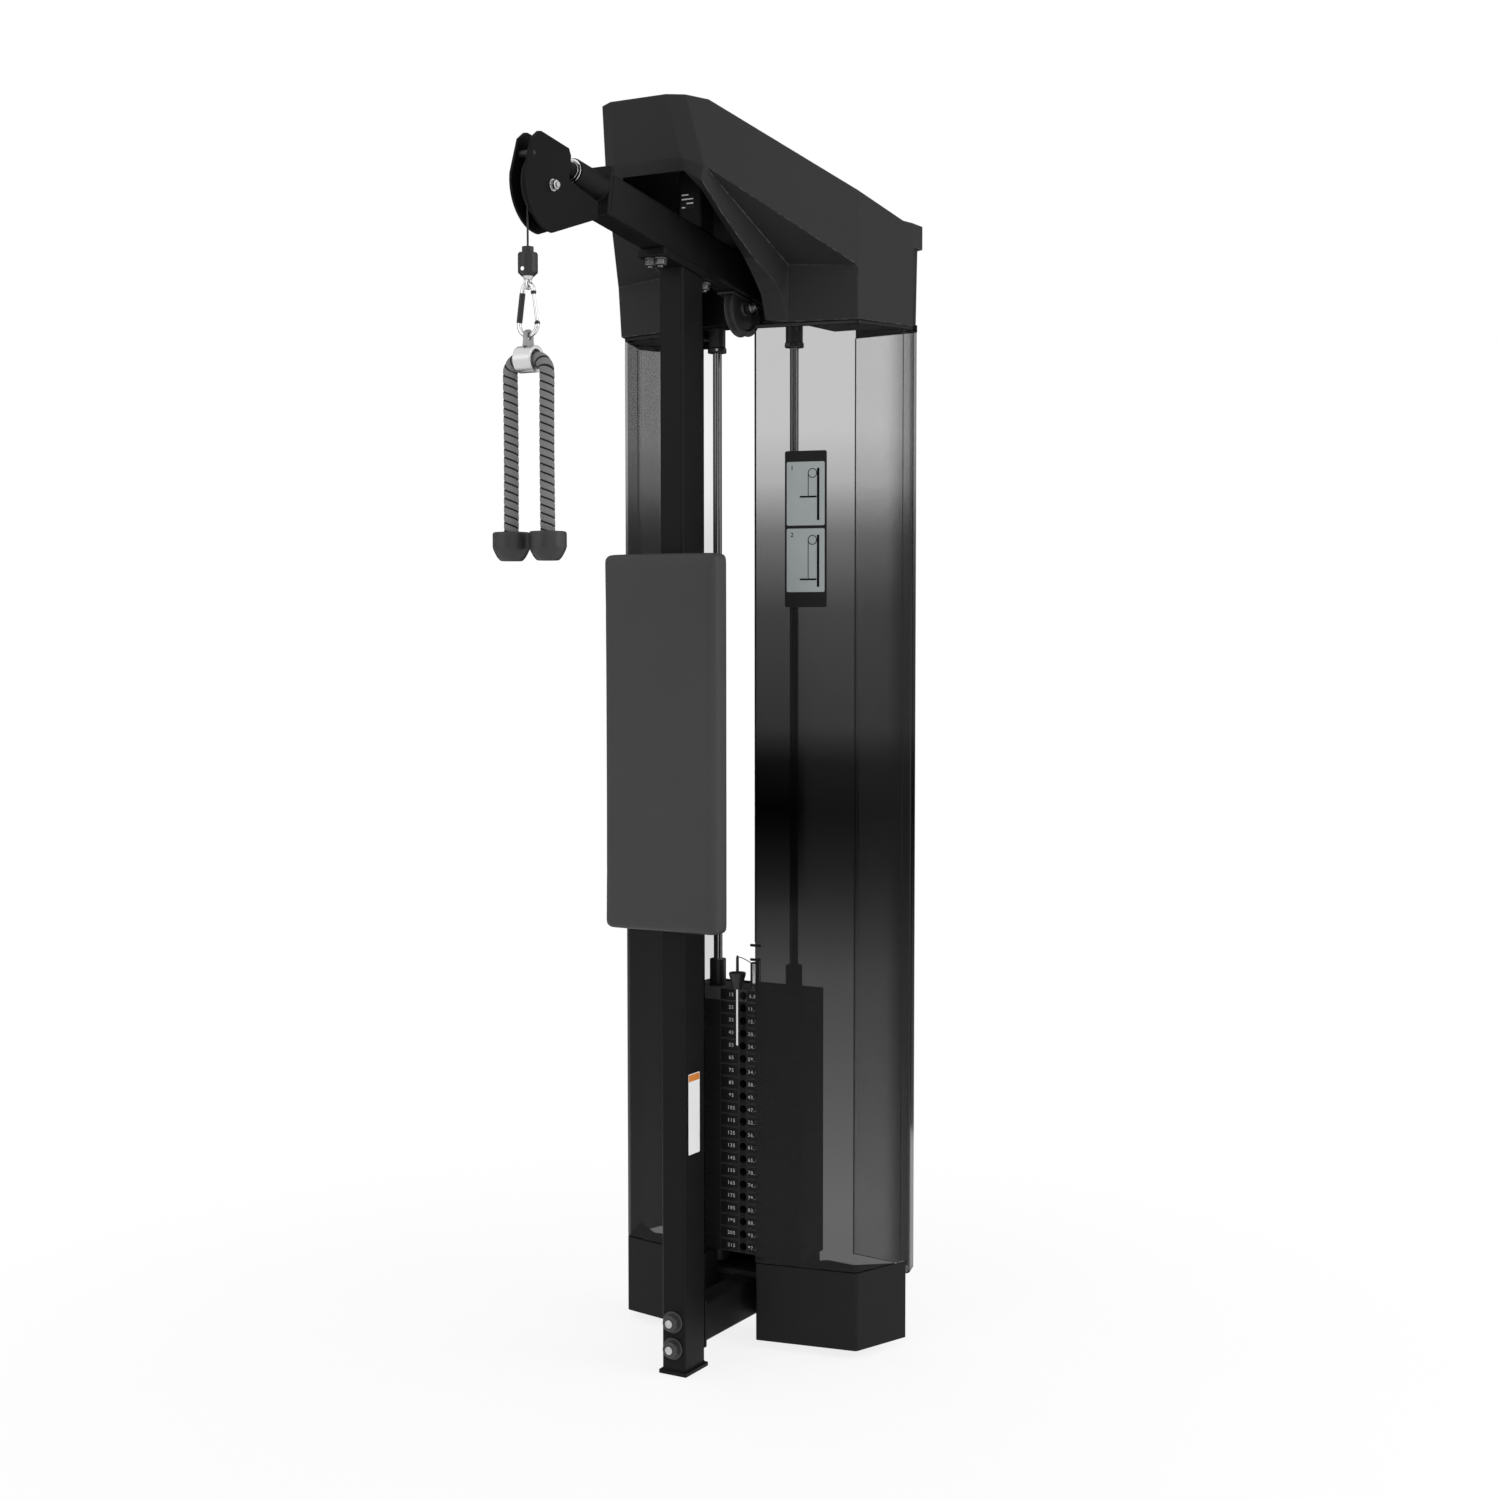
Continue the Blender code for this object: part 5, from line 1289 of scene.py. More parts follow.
def cutOff(bm, point, normal):
    # all that lies beyond a plane
    geom = bm.verts[:] + bm.edges[:] + bm.faces[:]
    bmesh.ops.bisect_plane(bm, geom=geom, plane_co=point, plane_no=normal, clear_outer=True)


def outwardFrom(bm, centre):
    # faces of an open sleeve turned away from its middle line
    bm.normal_update()
    wrong = [f for f in bm.faces if f.normal.dot(f.calc_center_median() - Vector(centre(f))) < 0]
    bmesh.ops.reverse_faces(bm, faces=wrong)


def buildTube(name, bm, centre, node, wall=tubeLook["wall"], cuts=()):
    # an open sleeve given its wall, about the middle line that centre tells for a face
    outwardFrom(bm, centre)
    stands = [node] if node else ()
    build(
        name, bm, powderCoat, stands=stands, wall=wall, outward=False, cuts=cuts, angle=25,
    )


def makePost():
    bm = shaped(addTubeWall, frameLook["footThick"] + clearance, boomLook["height"], None)
    under = boomPoint(0, -tubeLook["deep"] / 2 - frameLook["plateThick"] - 0.0009)
    cutOff(bm, under, rise)
    buildTube("post_tube", bm, lambda f: (0, 0, f.calc_center_median().z), "front_post")
    halfX = tubeLook["wide"] / 2 + frameLook["footOver"][0]
    halfY = tubeLook["deep"] / 2 + frameLook["footOver"][1]
    bm = shaped(addBox, (-halfX, -halfY, 0), (halfX, halfY, frameLook["footThick"]), radius=0.002)
    build("post_foot", bm, powderCoat, stands=["post_foot_plate"], soft=0.0011)
    # weld bead round the post's foot
    bead = 0.0014
    outline = roundedOutline(0.0512, 0.0766, 0.0062)
    line = [Vector((x, y, frameLook["footThick"] + bead)) for x, y in outline]
    bm = shaped(addSweep, line, (0, 0, 1), bead, 10, closed=True)
    build("post_weld", bm, powderCoat, angle=60)
    stud, tall, washer = frameLook["studRadius"], frameLook["nutTall"], frameLook["washerThick"]
    front = -tubeLook["deep"] / 2 - clearance
    tip = front - washer - tall - frameLook["studProud"]
    back = 0.0384 + frameLook["flangeThick"]
    for name, height in zip(("lower", "upper"), frameLook["boltHeights"]):
        bm = bmesh.new()
        nutAndWasher(bm, (0, front, height), (0, -1, 0), 0.0160, tall, 0.0210, washer, None, 0)
        build(
            "post_nut_" + name, bm, nutSteel, stands=["post_bolt_" + name], soft=0.0010, steps=3,
            angle=25,
        )
        bm = shaped(addRod, (0, front - 0.012, height), (0, tip + 0.0010, height), stud)
        addRod(bm, (0, tip + 0.0010, height), (0, tip, height), stud, endRadius=0.0066)
        addRod(bm, (0, back - 0.004, height), (0, back + 0.0002, height), stud)
        build("post_stud_" + name, bm, zincFinish, soft=0.0006)


def wheelWell(below):
    # the slot that the rear wheel stands in
    y, z = pulleyLook["rear"]
    reach, half = frameLook["wellReach"], frameLook["wellHalf"]
    return shaped(addBox, (-half, y - reach, z - below), (half, y + reach, z + 0.045))


def makeBoom():
    bm = shaped(addTubeWall, boomLook["front"], boomLook["rear"], boomFrame @ lieY)
    buildTube(
        "boom_tube", bm, lambda f: boomPoint((f.calc_center_median() - boomPoint(0)).dot(along)), "boom",
        cuts=[wheelWell(0.03)],
    )
    seat = -tubeLook["deep"] / 2 - clearance
    half, wide, thick = frameLook["plateHalf"], frameLook["plateWide"], frameLook["plateThick"]
    bm = shaped(
        addBox, (-wide / 2, -half, seat - thick), (wide / 2, half, seat), boomFrame, radius=0.004, axis=2,
    )
    build("top_plate", bm, powderCoat, stands=["post_top_plate"], soft=0.0014)
    # two bolts each side of the post, their nuts under the plate
    for hand, s in (("front", -0.0800), ("rear", 0.0760)):
        bm = bmesh.new()
        for x in (-0.0105, 0.0105):
            face = boomPoint(s, seat - thick)
            face.x = x
            nutAndWasher(bm, face, -rise, 0.0112, 0.0110, 0.0128, 0.0020, 0.0055, 0.004)
        build("top_nuts_" + hand, bm, darkZinc, soft=0.0007)


def makeBracket():
    # folded bracket that carries the rear wheel
    y, z = pulleyLook["rear"]
    seat = -tubeLook["deep"] / 2 - 0.0006
    outer = 0.0195
    bm = shaped(addBox, (-outer, 0.170, seat - 0.005), (outer, 0.2960, seat), boomFrame, radius=0.003, axis=2)
    build(
        "rear_bracket", bm, blackSteel, stands=["rear_pulley_bracket"], soft=0.0010,
        cuts=[wheelWell(0.02)],
    )
    for side, hand in hands:
        low = min(side * 0.0145, side * outer)
        outline = [(-0.017, 0.0080), (-0.017, -0.004)] + arcPoints((0, 0), 0.017, 193, 347, 16)
        outline += [(0.017, -0.004), (0.017, 0.0035)]
        bm = shaped(addPlate, outline, low, low + 0.005, Matrix.Translation((0, y, z)) @ sideOn)
        build("rear_lug_" + hand, bm, blackSteel, soft=0.0008)
    makeWheel("rear_wheel", Vector((0, y, z)), "rear_pulley_body", "rear_pulley")
    makeAxle("rear_axle", Vector((0, y, z)), "frame", "rear_pulley_bolt", 0.0145)


def makeBase():
    bottom, deep = frameLook["beamBottom"], tubeLook["deep"]
    middle = bottom + deep / 2
    start, half = deep / 2 + clearance, tubeLook["wide"] / 2
    end = start + frameLook["flangeThick"]
    place = Matrix.Translation((0, 0, middle)) @ lieY
    bm = shaped(addTubeWall, end, frameLook["crossFront"] - clearance, place)
    buildTube("floor_beam", bm, lambda f: (0, f.calc_center_median().y, middle), "base_beam")
    low, high = frameLook["flange"]
    bm = shaped(addBox, (-half, start, low), (half, end, high), radius=0.003, axis=1)
    build("floor_beam_flange", bm, powderCoat, soft=0.0009)
    bm = bmesh.new()
    half = frameLook["crossHalf"]
    centre = (0, frameLook["crossFront"] + deep / 2, middle)
    addTubeWall(bm, -half, half, Matrix.Translation(centre) @ lieX, wide=deep)
    buildTube("cross_beam", bm, lambda f: (f.calc_center_median().x, centre[1], middle), "rear_cross_beam")
    bm = bmesh.new()
    for side in (-1, 1):
        x = side * (half - 0.0015)
        low, high = (x - 0.0014, 0.2440, bottom + 0.003), (x + 0.0014, 0.3140, bottom + deep - 0.003)
        addBox(bm, low, high, radius=0.004, axis=0)
    build("cross_beam_caps", bm, nylonFinish, soft=0.0006)
    top = bottom - clearance
    profile = [
        (0, top), (0.0078, top), (0.0078, 0.0150), (0.0215, 0.0105), (0.0236, 0.0078), (0.0240, 0.0055),
        (0.0240, 0), (0, 0),
    ]
    for side, hand in hands:
        x, y = side * frameLook["footX"], frameLook["footY"]
        bm = shaped(addTurned, profile, Matrix.Translation((x, y, 0)))
        addRod(bm, (x, y, top - 0.0095), (x, y, top - 0.0015), 0.0125, 6)
        build("level_foot_" + hand, bm, rubberFinish, stands=["rear_foot_" + hand], soft=0.0006)
    plateTop = bottom + deep + clearance
    high = (0.130, 0.3298, plateTop + frameLook["basePlateThick"])
    bm = shaped(addBox, (-0.130, 0.2272, plateTop), high, radius=0.004, axis=2)
    build("stack_seat", bm, powderCoat, stands=["stack_base_plate"], soft=0.0012)
    bm = shaped(addBox, (-0.120, 0.3268, plateTop + 0.010), (0.120, 0.3298, 0.1655), radius=0.004, axis=1)
    build("stack_seat_back", bm, powderCoat, soft=0.0008)


print("frame")
makePost()
makeBoom()
makeBracket()
makeBase()


# ---- guide rods, yoke and weight stack

stackLook = {
    "y": 0.2785, "wide": 0.258, "deep": 0.1016, "pitch": 0.0254, "thick": 0.0250, "count": 20, "single": 11,
    "headTop": 0.7019, "headLow": 0.6765, "trayDeep": 0.004, "rim": 0.008, "pinHole": 0.0082,
    "stemHole": 0.0130, "rodHole": 0.0104, "corner": 0.004, "edge": 0.0014, "numberTall": 0.0074,
    "numberX": (-0.0270, 0.0220), "sticker": (0.0095, 0.0515), "stickerTall": 0.0222, "stickerBorder": 0.0005,
}
pinLook = {"x": -0.004, "y": 0.2130, "knobTop": 0.738, "tip": 0.591}
rodLook = {
    "x": 0.088, "radius": 0.0085, "top": 2.030, "floor": 0.1338, "collar": 0.0168, "collarTall": 0.048,
    "collarTop": 2.0177, "bushing": 0.0165, "bushingTop": 0.751, "bumper": 0.0225,
}


def plateMiddle(number):
    return stackLook["headTop"] - 0.0127 - stackLook["pitch"] * number


def plateSlab(low, high):
    bm = bmesh.new()
    halfX, halfY, y = stackLook["wide"] / 2, stackLook["deep"] / 2, stackLook["y"]
    addBox(bm, (-halfX, y - halfY, low), (halfX, y + halfY, high), radius=stackLook["corner"], axis=2)
    return bm


def boreTool(low, high, z, stem, rods):
    tool = bmesh.new()
    y = stackLook["y"]
    addRod(tool, (0, y, low), (0, y, high), stem, 32)
    for x in (-rodLook["x"], rodLook["x"]):
        addRod(tool, (x, y, low), (x, y, high), rods, 32)
    pin = shaped(addRod, (0, y - 0.08, z), (0, y - 0.012, z), stackLook["pinHole"], 28)
    return [tool, pin]


def makePlates():
    for number in range(1, stackLook["count"] + 1):
        middle = plateMiddle(number)
        low, high = middle - stackLook["thick"] / 2, middle + stackLook["thick"] / 2
        single = number <= stackLook["single"]
        node = "weight_plate_%02d" % number if single else "weight_plates_lower"
        cuts = boreTool(low - 0.01, high + 0.01, middle, stackLook["stemHole"], stackLook["rodHole"])
        build(
            "stack_plate_%02d" % number, plateSlab(low, high), platePaint, stands=[node],
            soft=stackLook["edge"], cuts=cuts,
        )


def textMesh(word, size, matrix):
    data = bpy.data.curves.new("word", "FONT")
    data.body = word
    data.size = size
    data.align_x = "CENTER"
    data.align_y = "CENTER"
    data.extrude = 0.00008
    data.offset = 0.00010
    data.space_character = 1.25
    piece = bpy.data.objects.new("word", data)
    shop.collection.objects.link(piece)
    mesh = finishedMesh(piece)
    mesh.transform(matrix)
    bpy.data.objects.remove(piece, do_unlink=True)
    return mesh


def addStickers(bm, numbers, grow, proud):
    # strips left and right of the pin's hole, on each plate
    front = stackLook["y"] - stackLook["deep"] / 2
    near, far = stackLook["sticker"]
    tall = stackLook["stickerTall"] / 2 + grow
    for number in numbers:
        z = plateMiddle(number)
        for side in (-1, 1):
            low, high = sorted((side * (near - grow), side * (far + grow)))
            addBox(bm, (low, front - proud, z - tall), (high, front + 0.0004, z + tall))


def makeNumbers():
    # plain weights: pounds left of the hole, kilograms right of it
    front = stackLook["y"] - stackLook["deep"] / 2 - clearance
    upright = Matrix.Rotation(math.radians(90), 4, "X")
    for name, body, numbers in (
        ("numbers_head", "carriage", [0]), ("numbers_stack", "frame", range(1, stackLook["count"] + 1)),
    ):
        bm = bmesh.new()
        for number in numbers:
            pounds = 15 + 10 * number
            words = ("%d" % pounds, "%.1f" % (pounds * 0.4536))
            for word, x in zip(words, stackLook["numberX"]):
                place = Matrix.Translation((x, front, plateMiddle(number))) @ upright
                mesh = textMesh(word, stackLook["numberTall"] * 1.35, place)
                bm.from_mesh(mesh)
                bpy.data.meshes.remove(mesh)
        build(name, bm, printGrey, body, angle=30)
        for part, finish, grow, proud in (
            ("strip", stickerBlack, 0.0, 0.00022),
            ("border", stickerEdge, stackLook["stickerBorder"], 0.00012),
        ):
            bm = shaped(addStickers, numbers, grow, proud)
            build(name + "_" + part, bm, finish, body)


def makeCarriage():
    y, top, low = stackLook["y"], stackLook["headTop"], stackLook["headLow"]
    floor = top - stackLook["trayDeep"]
    tray = bmesh.new()
    rim = stackLook["rim"]
    halfX, halfY = stackLook["wide"] / 2 - rim, stackLook["deep"] / 2 - rim
    addBox(tray, (-halfX, y - halfY, floor), (halfX, y + halfY, top + 0.01))
    build(
        "head_weight", plateSlab(low, top), headPaint, "carriage", ["head_plate"],
        soft=0.0010, cuts=[tray] + boreTool(low - 0.01, top + 0.01, plateMiddle(0), 0.0108, 0.0091),
    )
    for side, hand in hands:
        bm = bmesh.new()
        profile = [
            (0.0091, rodLook["bushingTop"]), (rodLook["bushing"], rodLook["bushingTop"]),
            (rodLook["bushing"], floor), (0.0091, floor),
        ]
        addTurned(bm, profile, Matrix.Translation((side * rodLook["x"], y, 0)))
        build("head_bushing_" + hand, bm, nylonFinish, "carriage", soft=0.0010)
        bm = bmesh.new()
        low, high = rodLook["bushingTop"] - 0.0010, rodLook["bushingTop"] + clearance
        profile = [(0.0094, high), (0.0135, high), (0.0135, low), (0.0094, low)]
        addTurned(bm, profile, Matrix.Translation((side * rodLook["x"], y, 0)))
        build("bushing_liner_" + hand, bm, zincFinish, "carriage", soft=0.0003)
    bm = shaped(addRod, (0, y, 0.1735), (0, y, 0.749), 0.0105, 40)
    addBox(bm, (-0.0055, y - 0.0055, 0.747), (0.0055, y + 0.0055, 0.790), radius=0.0015, axis=2)
    holes = bmesh.new()
    for number in range(stackLook["count"] + 1):
        z = plateMiddle(number)
        addRod(holes, (0, y - 0.03, z), (0, y + 0.03, z), 0.0052, 16)
    build("lifting_stem", bm, chromeFinish, "carriage", ["selector_stem"], soft=0.0008, cuts=[holes])
    bm = bmesh.new()
    for z in (0.7545, 0.7835):
        addRod(bm, (-0.0115, y, z), (0.0115, y, z), 0.0028, 28)
    build("clevis_pins", bm, blackSteel, "carriage", soft=0.0005)
    # lanyard of the selector pin, from the lower clevis pin to the pin's spike
    start, end = Vector((0.0078, y - 0.0005, 0.7545)), Vector((pinLook["x"], pinLook["y"], 0.7695))
    sag = [start + Vector((0, -0.020, -0.0045)), end + Vector((0.003, 0.018, -0.006))]
    line = smoothRoute([start, *sag, end], 8)
    bm = shaped(addSweep, line, (1, 0, 0), 0.0009, 10)
    addRod(bm, (0.0064, y, start.z), (0.0092, y, start.z), 0.0036, 24)
    lanyard = build("pin_lanyard", bm, blackSteel, None, angle=60)
    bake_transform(lanyard)


def makeRods():
    y = stackLook["y"]
    for side, hand in hands:
        x = side * rodLook["x"]
        bm = shaped(addRod, (x, y, rodLook["floor"]), (x, y, rodLook["top"]), rodLook["radius"], 48)
        build(
            "slide_rod_" + hand, bm, rodSteel, stands=["guide_rod_" + hand], soft=0.0010, angle=40,
        )
        bore = rodLook["radius"] + clearance
        top, wide = rodLook["collarTop"], rodLook["collar"]
        low = top - rodLook["collarTall"]
        profile = [
            (bore, top), (wide, top), (wide, low + 0.010), (wide + 0.002, low + 0.0085), (wide + 0.002, low),
            (bore, low),
        ]
        bm = shaped(addTurned, profile, Matrix.Translation((x, y, 0)))
        build("collar_" + hand, bm, blackSteel, stands=["rod_collar_" + hand], soft=0.0008)
        bm = bmesh.new()
        turn = Matrix.Translation((x, y, 0)) @ Matrix.Rotation(math.radians(-28 if side > 0 else 28), 4, "Z")
        addRod(bm, (0, -wide - 0.0022, low + 0.005), (0, -wide + 0.004, low + 0.005), 0.0032, 24)
        bmesh.ops.transform(bm, matrix=turn, verts=bm.verts)
        build("collar_screw_" + hand, bm, zincFinish, soft=0.0005)
        bumperTop = plateMiddle(stackLook["count"]) - stackLook["thick"] / 2 - 0.0006
        wide, low = rodLook["bumper"], rodLook["floor"]
        profile = [
            (bore, bumperTop), (0.0205, bumperTop), (wide, bumperTop - 0.004), (wide, low), (bore, low),
        ]
        bm = shaped(addTurned, profile, Matrix.Translation((x, y, 0)))
        build("bumper_" + hand, bm, rubberFinish, stands=["stack_bumper_" + hand], soft=0.0010)


yokeLook = {
    "bottom": 2.018, "armTop": 2.094, "top": 2.136, "half": 0.118, "inner": 0.030, "y": (0.253, 0.300),
    "back": 0.008, "wall": 0.003,
}


def makeYoke():
    lowY, highY = yokeLook["y"]
    half = yokeLook["half"]
    low, high = (-half, highY, yokeLook["bottom"]), (half, highY + yokeLook["back"], yokeLook["top"])
    bm = shaped(addBox, low, high, radius=0.006, axis=1)
    build("yoke_back", bm, powderCoat, stands=["rod_yoke"], soft=0.0010)
    for side, hand in hands:
        lowX, highX = sorted((side * yokeLook["inner"], side * half))
        outline = roundedOutline(yokeLook["armTop"] - yokeLook["bottom"], highY - lowY, 0.005)
        bm = bmesh.new()
        centre = ((lowX + highX) / 2, (lowY + highY) / 2, (yokeLook["bottom"] + yokeLook["armTop"]) / 2)
        before = set(bm.verts)
        addWall(bm, outline, lowX - centre[0], highX - centre[0], closed=True)
        placed(bm, before, Matrix.Translation(centre) @ lieX)
        buildTube(
            "yoke_arm_" + hand, bm, lambda f: (f.calc_center_median().x, centre[1], centre[2]), None,
            wall=yokeLook["wall"],
        )


def makePin():
    top, tip = pinLook["knobTop"], pinLook["tip"]
    place = Matrix.Translation((pinLook["x"], pinLook["y"], 0))
    bm = shaped(
        addTurned, [
            (0, top + 0.0010), (0.0030, top + 0.0010), (0.0158, top), (0.0170, top - 0.0014),
            (0.0170, top - 0.0036), (0.0164, top - 0.0060), (0.0094, top - 0.0310), (0.0084, top - 0.0335),
            (0, top - 0.0335),
        ],
        place,
    )
    build("pin_knob", bm, rubberFinish, "pin_body", ["selector_pin"], soft=0.0006)
    spike = [
        (0, top + 0.034), (0.0016, top + 0.0335), (0.0028, top + 0.029), (0.0030, top + 0.001),
        (0, top + 0.001),
    ]
    bm = shaped(addTurned, spike, place)
    build("pin_spike", bm, blackSteel, "pin_body")
    shank = [(0, top - 0.033), (0.0035, top - 0.033), (0.0035, tip + 0.003), (0.0020, tip), (0, tip)]
    bm = shaped(addTurned, shank, place)
    build("pin_shank", bm, chromeFinish, "pin_body", soft=0.0003)


print("stack")
makePlates()
makeNumbers()
makeCarriage()
makeRods()
makeYoke()
makePin()


# ---- shrouds, covers and hood

planRight = [(0.059, 0.173), (0.2645, 0.210), (0.3044, 0.321), (0.313, 0.345), (0.300, 0.392), (0.156, 0.412)]
shroudLook = {
    "bottom": 0.172, "top": 1.998, "wall": 0.005, "bend": 0.006, "seal": (-0.0010, 0.0057),
    "rearBottom": 0.1445, "stepY": 0.338,
    "coverBottom": 0.017, "coverTop": 0.170, "coverWall": 0.003,
}
coverPlan = [(0.059, 0.2245), (0.059, 0.173), (0.2645, 0.210), (0.302, 0.3145), (0.3095, 0.3355)]
coverShelf = [
    (0.0621, 0.2245), (0.0621, 0.1767), (0.2622, 0.2127), (0.2991, 0.3156), (0.232, 0.2615), (0.171, 0.267),
    (0.131, 0.2245),
]


def sheetPanel(name, points, low, high, wall, material, node=None, soft=0.0008, rim=None, cuts=()):
    # a bent sheet over a line in plan, its wall inside that line
    line = filleted(points, shroudLook["bend"])
    bm = shaped(addWall, line, low, high)
    bm.normal_update()
    tall = (low + high) / 2
    wide = sum(p[0] for p in points) / len(points)
    probe = max(bm.faces, key=lambda f: abs(f.calc_center_median().x - wide))
    outward = probe.calc_center_median() - Vector((wide, 0.3, tall))
    if probe.normal.dot(outward) < 0:
        bmesh.ops.reverse_faces(bm, faces=bm.faces)
    stands = [node] if node else ()
    return build(
        name, bm, material, stands=stands, wall=wall, soft=soft, outward=False, angle=28, rim=rim,
        cuts=cuts,
    )


def makeShrouds():
    for hand in ("left", "right"):
        flip = -1 if hand == "left" else 1
        plan = [(flip * x, y) for x, y in planRight]
        cover = [(flip * x, y) for x, y in coverPlan]
        # the sheet reaches lower behind the cover
        low, top = shroudLook["bottom"], shroudLook["top"]
        step = shaped(addBox, (-0.5, 0, shroudLook["rearBottom"] - 0.01), (0.5, shroudLook["stepY"], low))
        sheetPanel(
            "smoked_shroud_" + hand, plan, shroudLook["rearBottom"], top, shroudLook["wall"],
            smokedAcrylic, "shroud_" + hand, soft=0.0006, rim=acrylicEdge, cuts=[step],
        )
        # dark line along the bend where the rear strip of the sheet starts, and the shelf inside the cover
        x, y = plan[2]
        bm = shaped(addRod, (x, y, low + 0.001), (x, y, top - 0.001), 0.0008, 8)
        build("shroud_bend_line_" + hand, bm, acrylicEdge, angle=60)
        high = shroudLook["coverTop"]
        bm = shaped(addPlate, [(flip * x, y) for x, y in coverShelf], high - shroudLook["coverWall"], high)
        build("cover_shelf_" + hand, bm, coverPlastic, soft=0.0005)
        # dark strip that closes the gap between the sheet's top and the hood
        under, over = shroudLook["seal"]
        sheetPanel(
            "shroud_seal_" + hand, plan[:4], top + under, top + over, shroudLook["wall"], acrylicEdge,
        )
        # and behind it a narrow skirt, up to the hood's rising rear edge
        bm = bmesh.new()
        rows = []
        for (x, y), name in zip(plan[3:], ("foot2", "foot4", "foot5")):
            rows.append([bm.verts.new((x, y, z)) for z in (top + clearance, hoodPoints[name][2])])
        for near, far in zip(rows, rows[1:]):
            bm.faces.new((near[0], far[0], far[1], near[1]))
        build("hood_skirt_" + hand, bm, acrylicEdge, wall=0.002)
        sheetPanel(
            "floor_cover_" + hand, cover, shroudLook["coverBottom"], high, shroudLook["coverWall"],
            coverPlastic, "base_cover_" + hand, soft=0.0007,
        )


hoodLook = {"wall": 0.0035, "edge": 0.0018, "steps": 3}
hoodPoints = {
    "roof0": (0, -0.1487, 2.3746), "roof1": (0, -0.085, 2.372), "roof2": (0, 0.207, 2.246),
    "roof3": (0, 0.321, 2.203), "roof4": (0, 0.412, 2.201), "rear4": (0, 0.412, 2.060),
    "nose": (0.0594, -0.1487, 2.3746), "brow": (0.0894, -0.1291, 2.3746), "edge": (0.1124, -0.085, 2.372),
    "shoulder": (0.2645, 0.207, 2.246), "elbow": (0.2702, 0.1971, 2.103), "corner": (0.2671, 0.2025, 2.004),
    "side1": (0.3044, 0.321, 2.203), "side2": (0.313, 0.345, 2.201), "side3": (0.313, 0.388, 2.201),
    "side4": (0.300, 0.392, 2.201), "side5": (0.156, 0.412, 2.201),
    "under2": (0.313, 0.345, 2.155), "under3": (0.313, 0.388, 2.155), "under4": (0.300, 0.392, 2.155),
    "foot1": (0.3044, 0.321, 2.004), "foot2": (0.313, 0.345, 2.004),
    "foot4": (0.297, 0.392, 2.0117), "foot5": (0.156, 0.412, 2.060),
    "shelf1": (0.0935, 0.228, 2.004), "shelf2": (0.140, 0.232, 2.004), "shelf3": (0.145, 0.340, 2.004),
    "chin0": (0, -0.117, 2.267), "chin": (0.073, -0.117, 2.267), "cheek": (0.106, -0.093, 2.2545),
    "lip0": (0, -0.098, 2.248), "lip": (0.068, -0.098, 2.248),
    "jamb": (0.1255, 0.185, 2.115), "sill": (0.125, 0.1845, 2.006),
    "outer1": (0.099, -0.090, 2.228), "outer2": (0.104, -0.025, 2.178), "outer3": (0.110, 0.082, 2.112),
    "outer4": (0.116, 0.142, 2.082), "outer5": (0.120, 0.172, 2.057),
    "inner1": (0.081, -0.061, 2.219), "inner2": (0.081, 0.035, 2.157), "inner3": (0.081, 0.092, 2.120),
    "inner4": (0.081, 0.134, 2.084), "inner5": (0.081, 0.159, 2.058), "inner6": (0.081, 0.176, 2.012),
}
hoodFaces = [
    "roof0 nose chin chin0", "nose brow cheek chin", "chin0 chin lip lip0", "chin cheek outer1 lip",
    "lip outer1 inner1", "roof0 roof1 edge brow nose", "roof1 roof2 shoulder edge",
    "roof2 roof3 side1 shoulder", "roof3 roof4 side5 side4 side3 side2 side1",
    "brow edge cheek", "edge shoulder elbow cheek", "cheek elbow jamb", "jamb elbow corner sill",
    "cheek outer2 outer1", "cheek jamb outer2", "jamb outer3 outer2", "jamb outer4 outer3",
    "jamb outer5 outer4", "jamb sill outer5",
    "outer1 outer2 inner2 inner1", "outer2 outer3 inner3 inner2", "outer3 outer4 inner4 inner3",
    "outer4 outer5 inner5 inner4", "outer5 sill inner6 inner5",
    "shoulder side1 foot1 corner elbow", "side1 side2 under2 foot2 foot1", "side2 side3 under3 under2",
    "side3 side4 under4 under3", "under2 under3 under4", "under2 under4 foot4 foot2",
    "side4 side5 foot5 foot4 under4", "side5 roof4 rear4 foot5",
    "sill inner6 shelf1 shelf2", "sill corner foot1 shelf2", "foot1 foot2 shelf3 shelf2",
]


def makeHood():
    bm = bmesh.new()
    verts = {name: bm.verts.new(place) for name, place in hoodPoints.items()}
    for names in hoodFaces:
        bm.faces.new([verts[name] for name in names.split()])
    bmesh.ops.mirror(bm, geom=bm.verts[:] + bm.edges[:] + bm.faces[:], axis="X", merge_dist=0.0001)
    bmesh.ops.remove_doubles(bm, verts=bm.verts, dist=0.0001)
    bmesh.ops.recalc_face_normals(bm, faces=bm.faces)
    bm.normal_update()
    if max(bm.faces, key=lambda f: f.calc_center_median().z).normal.z < 0:
        bmesh.ops.reverse_faces(bm, faces=bm.faces)
    creases = [e for e in bm.edges if len(e.link_faces) == 2 and e.calc_face_angle(0) > math.radians(9)]
    bmesh.ops.bevel(
        bm, geom=creases, offset=hoodLook["edge"], segments=hoodLook["steps"], affect="EDGES", profile=0.5,
        material=-1, clamp_overlap=True,
    )
    build(
        "hood_shell", bm, hoodPlastic, stands=["hood"], wall=hoodLook["wall"], outward=False,
        angle=22,
    )


supportLook = {"y": 0.055, "wide": 0.050, "low": 2.14, "high": 2.34, "wall": 0.003}


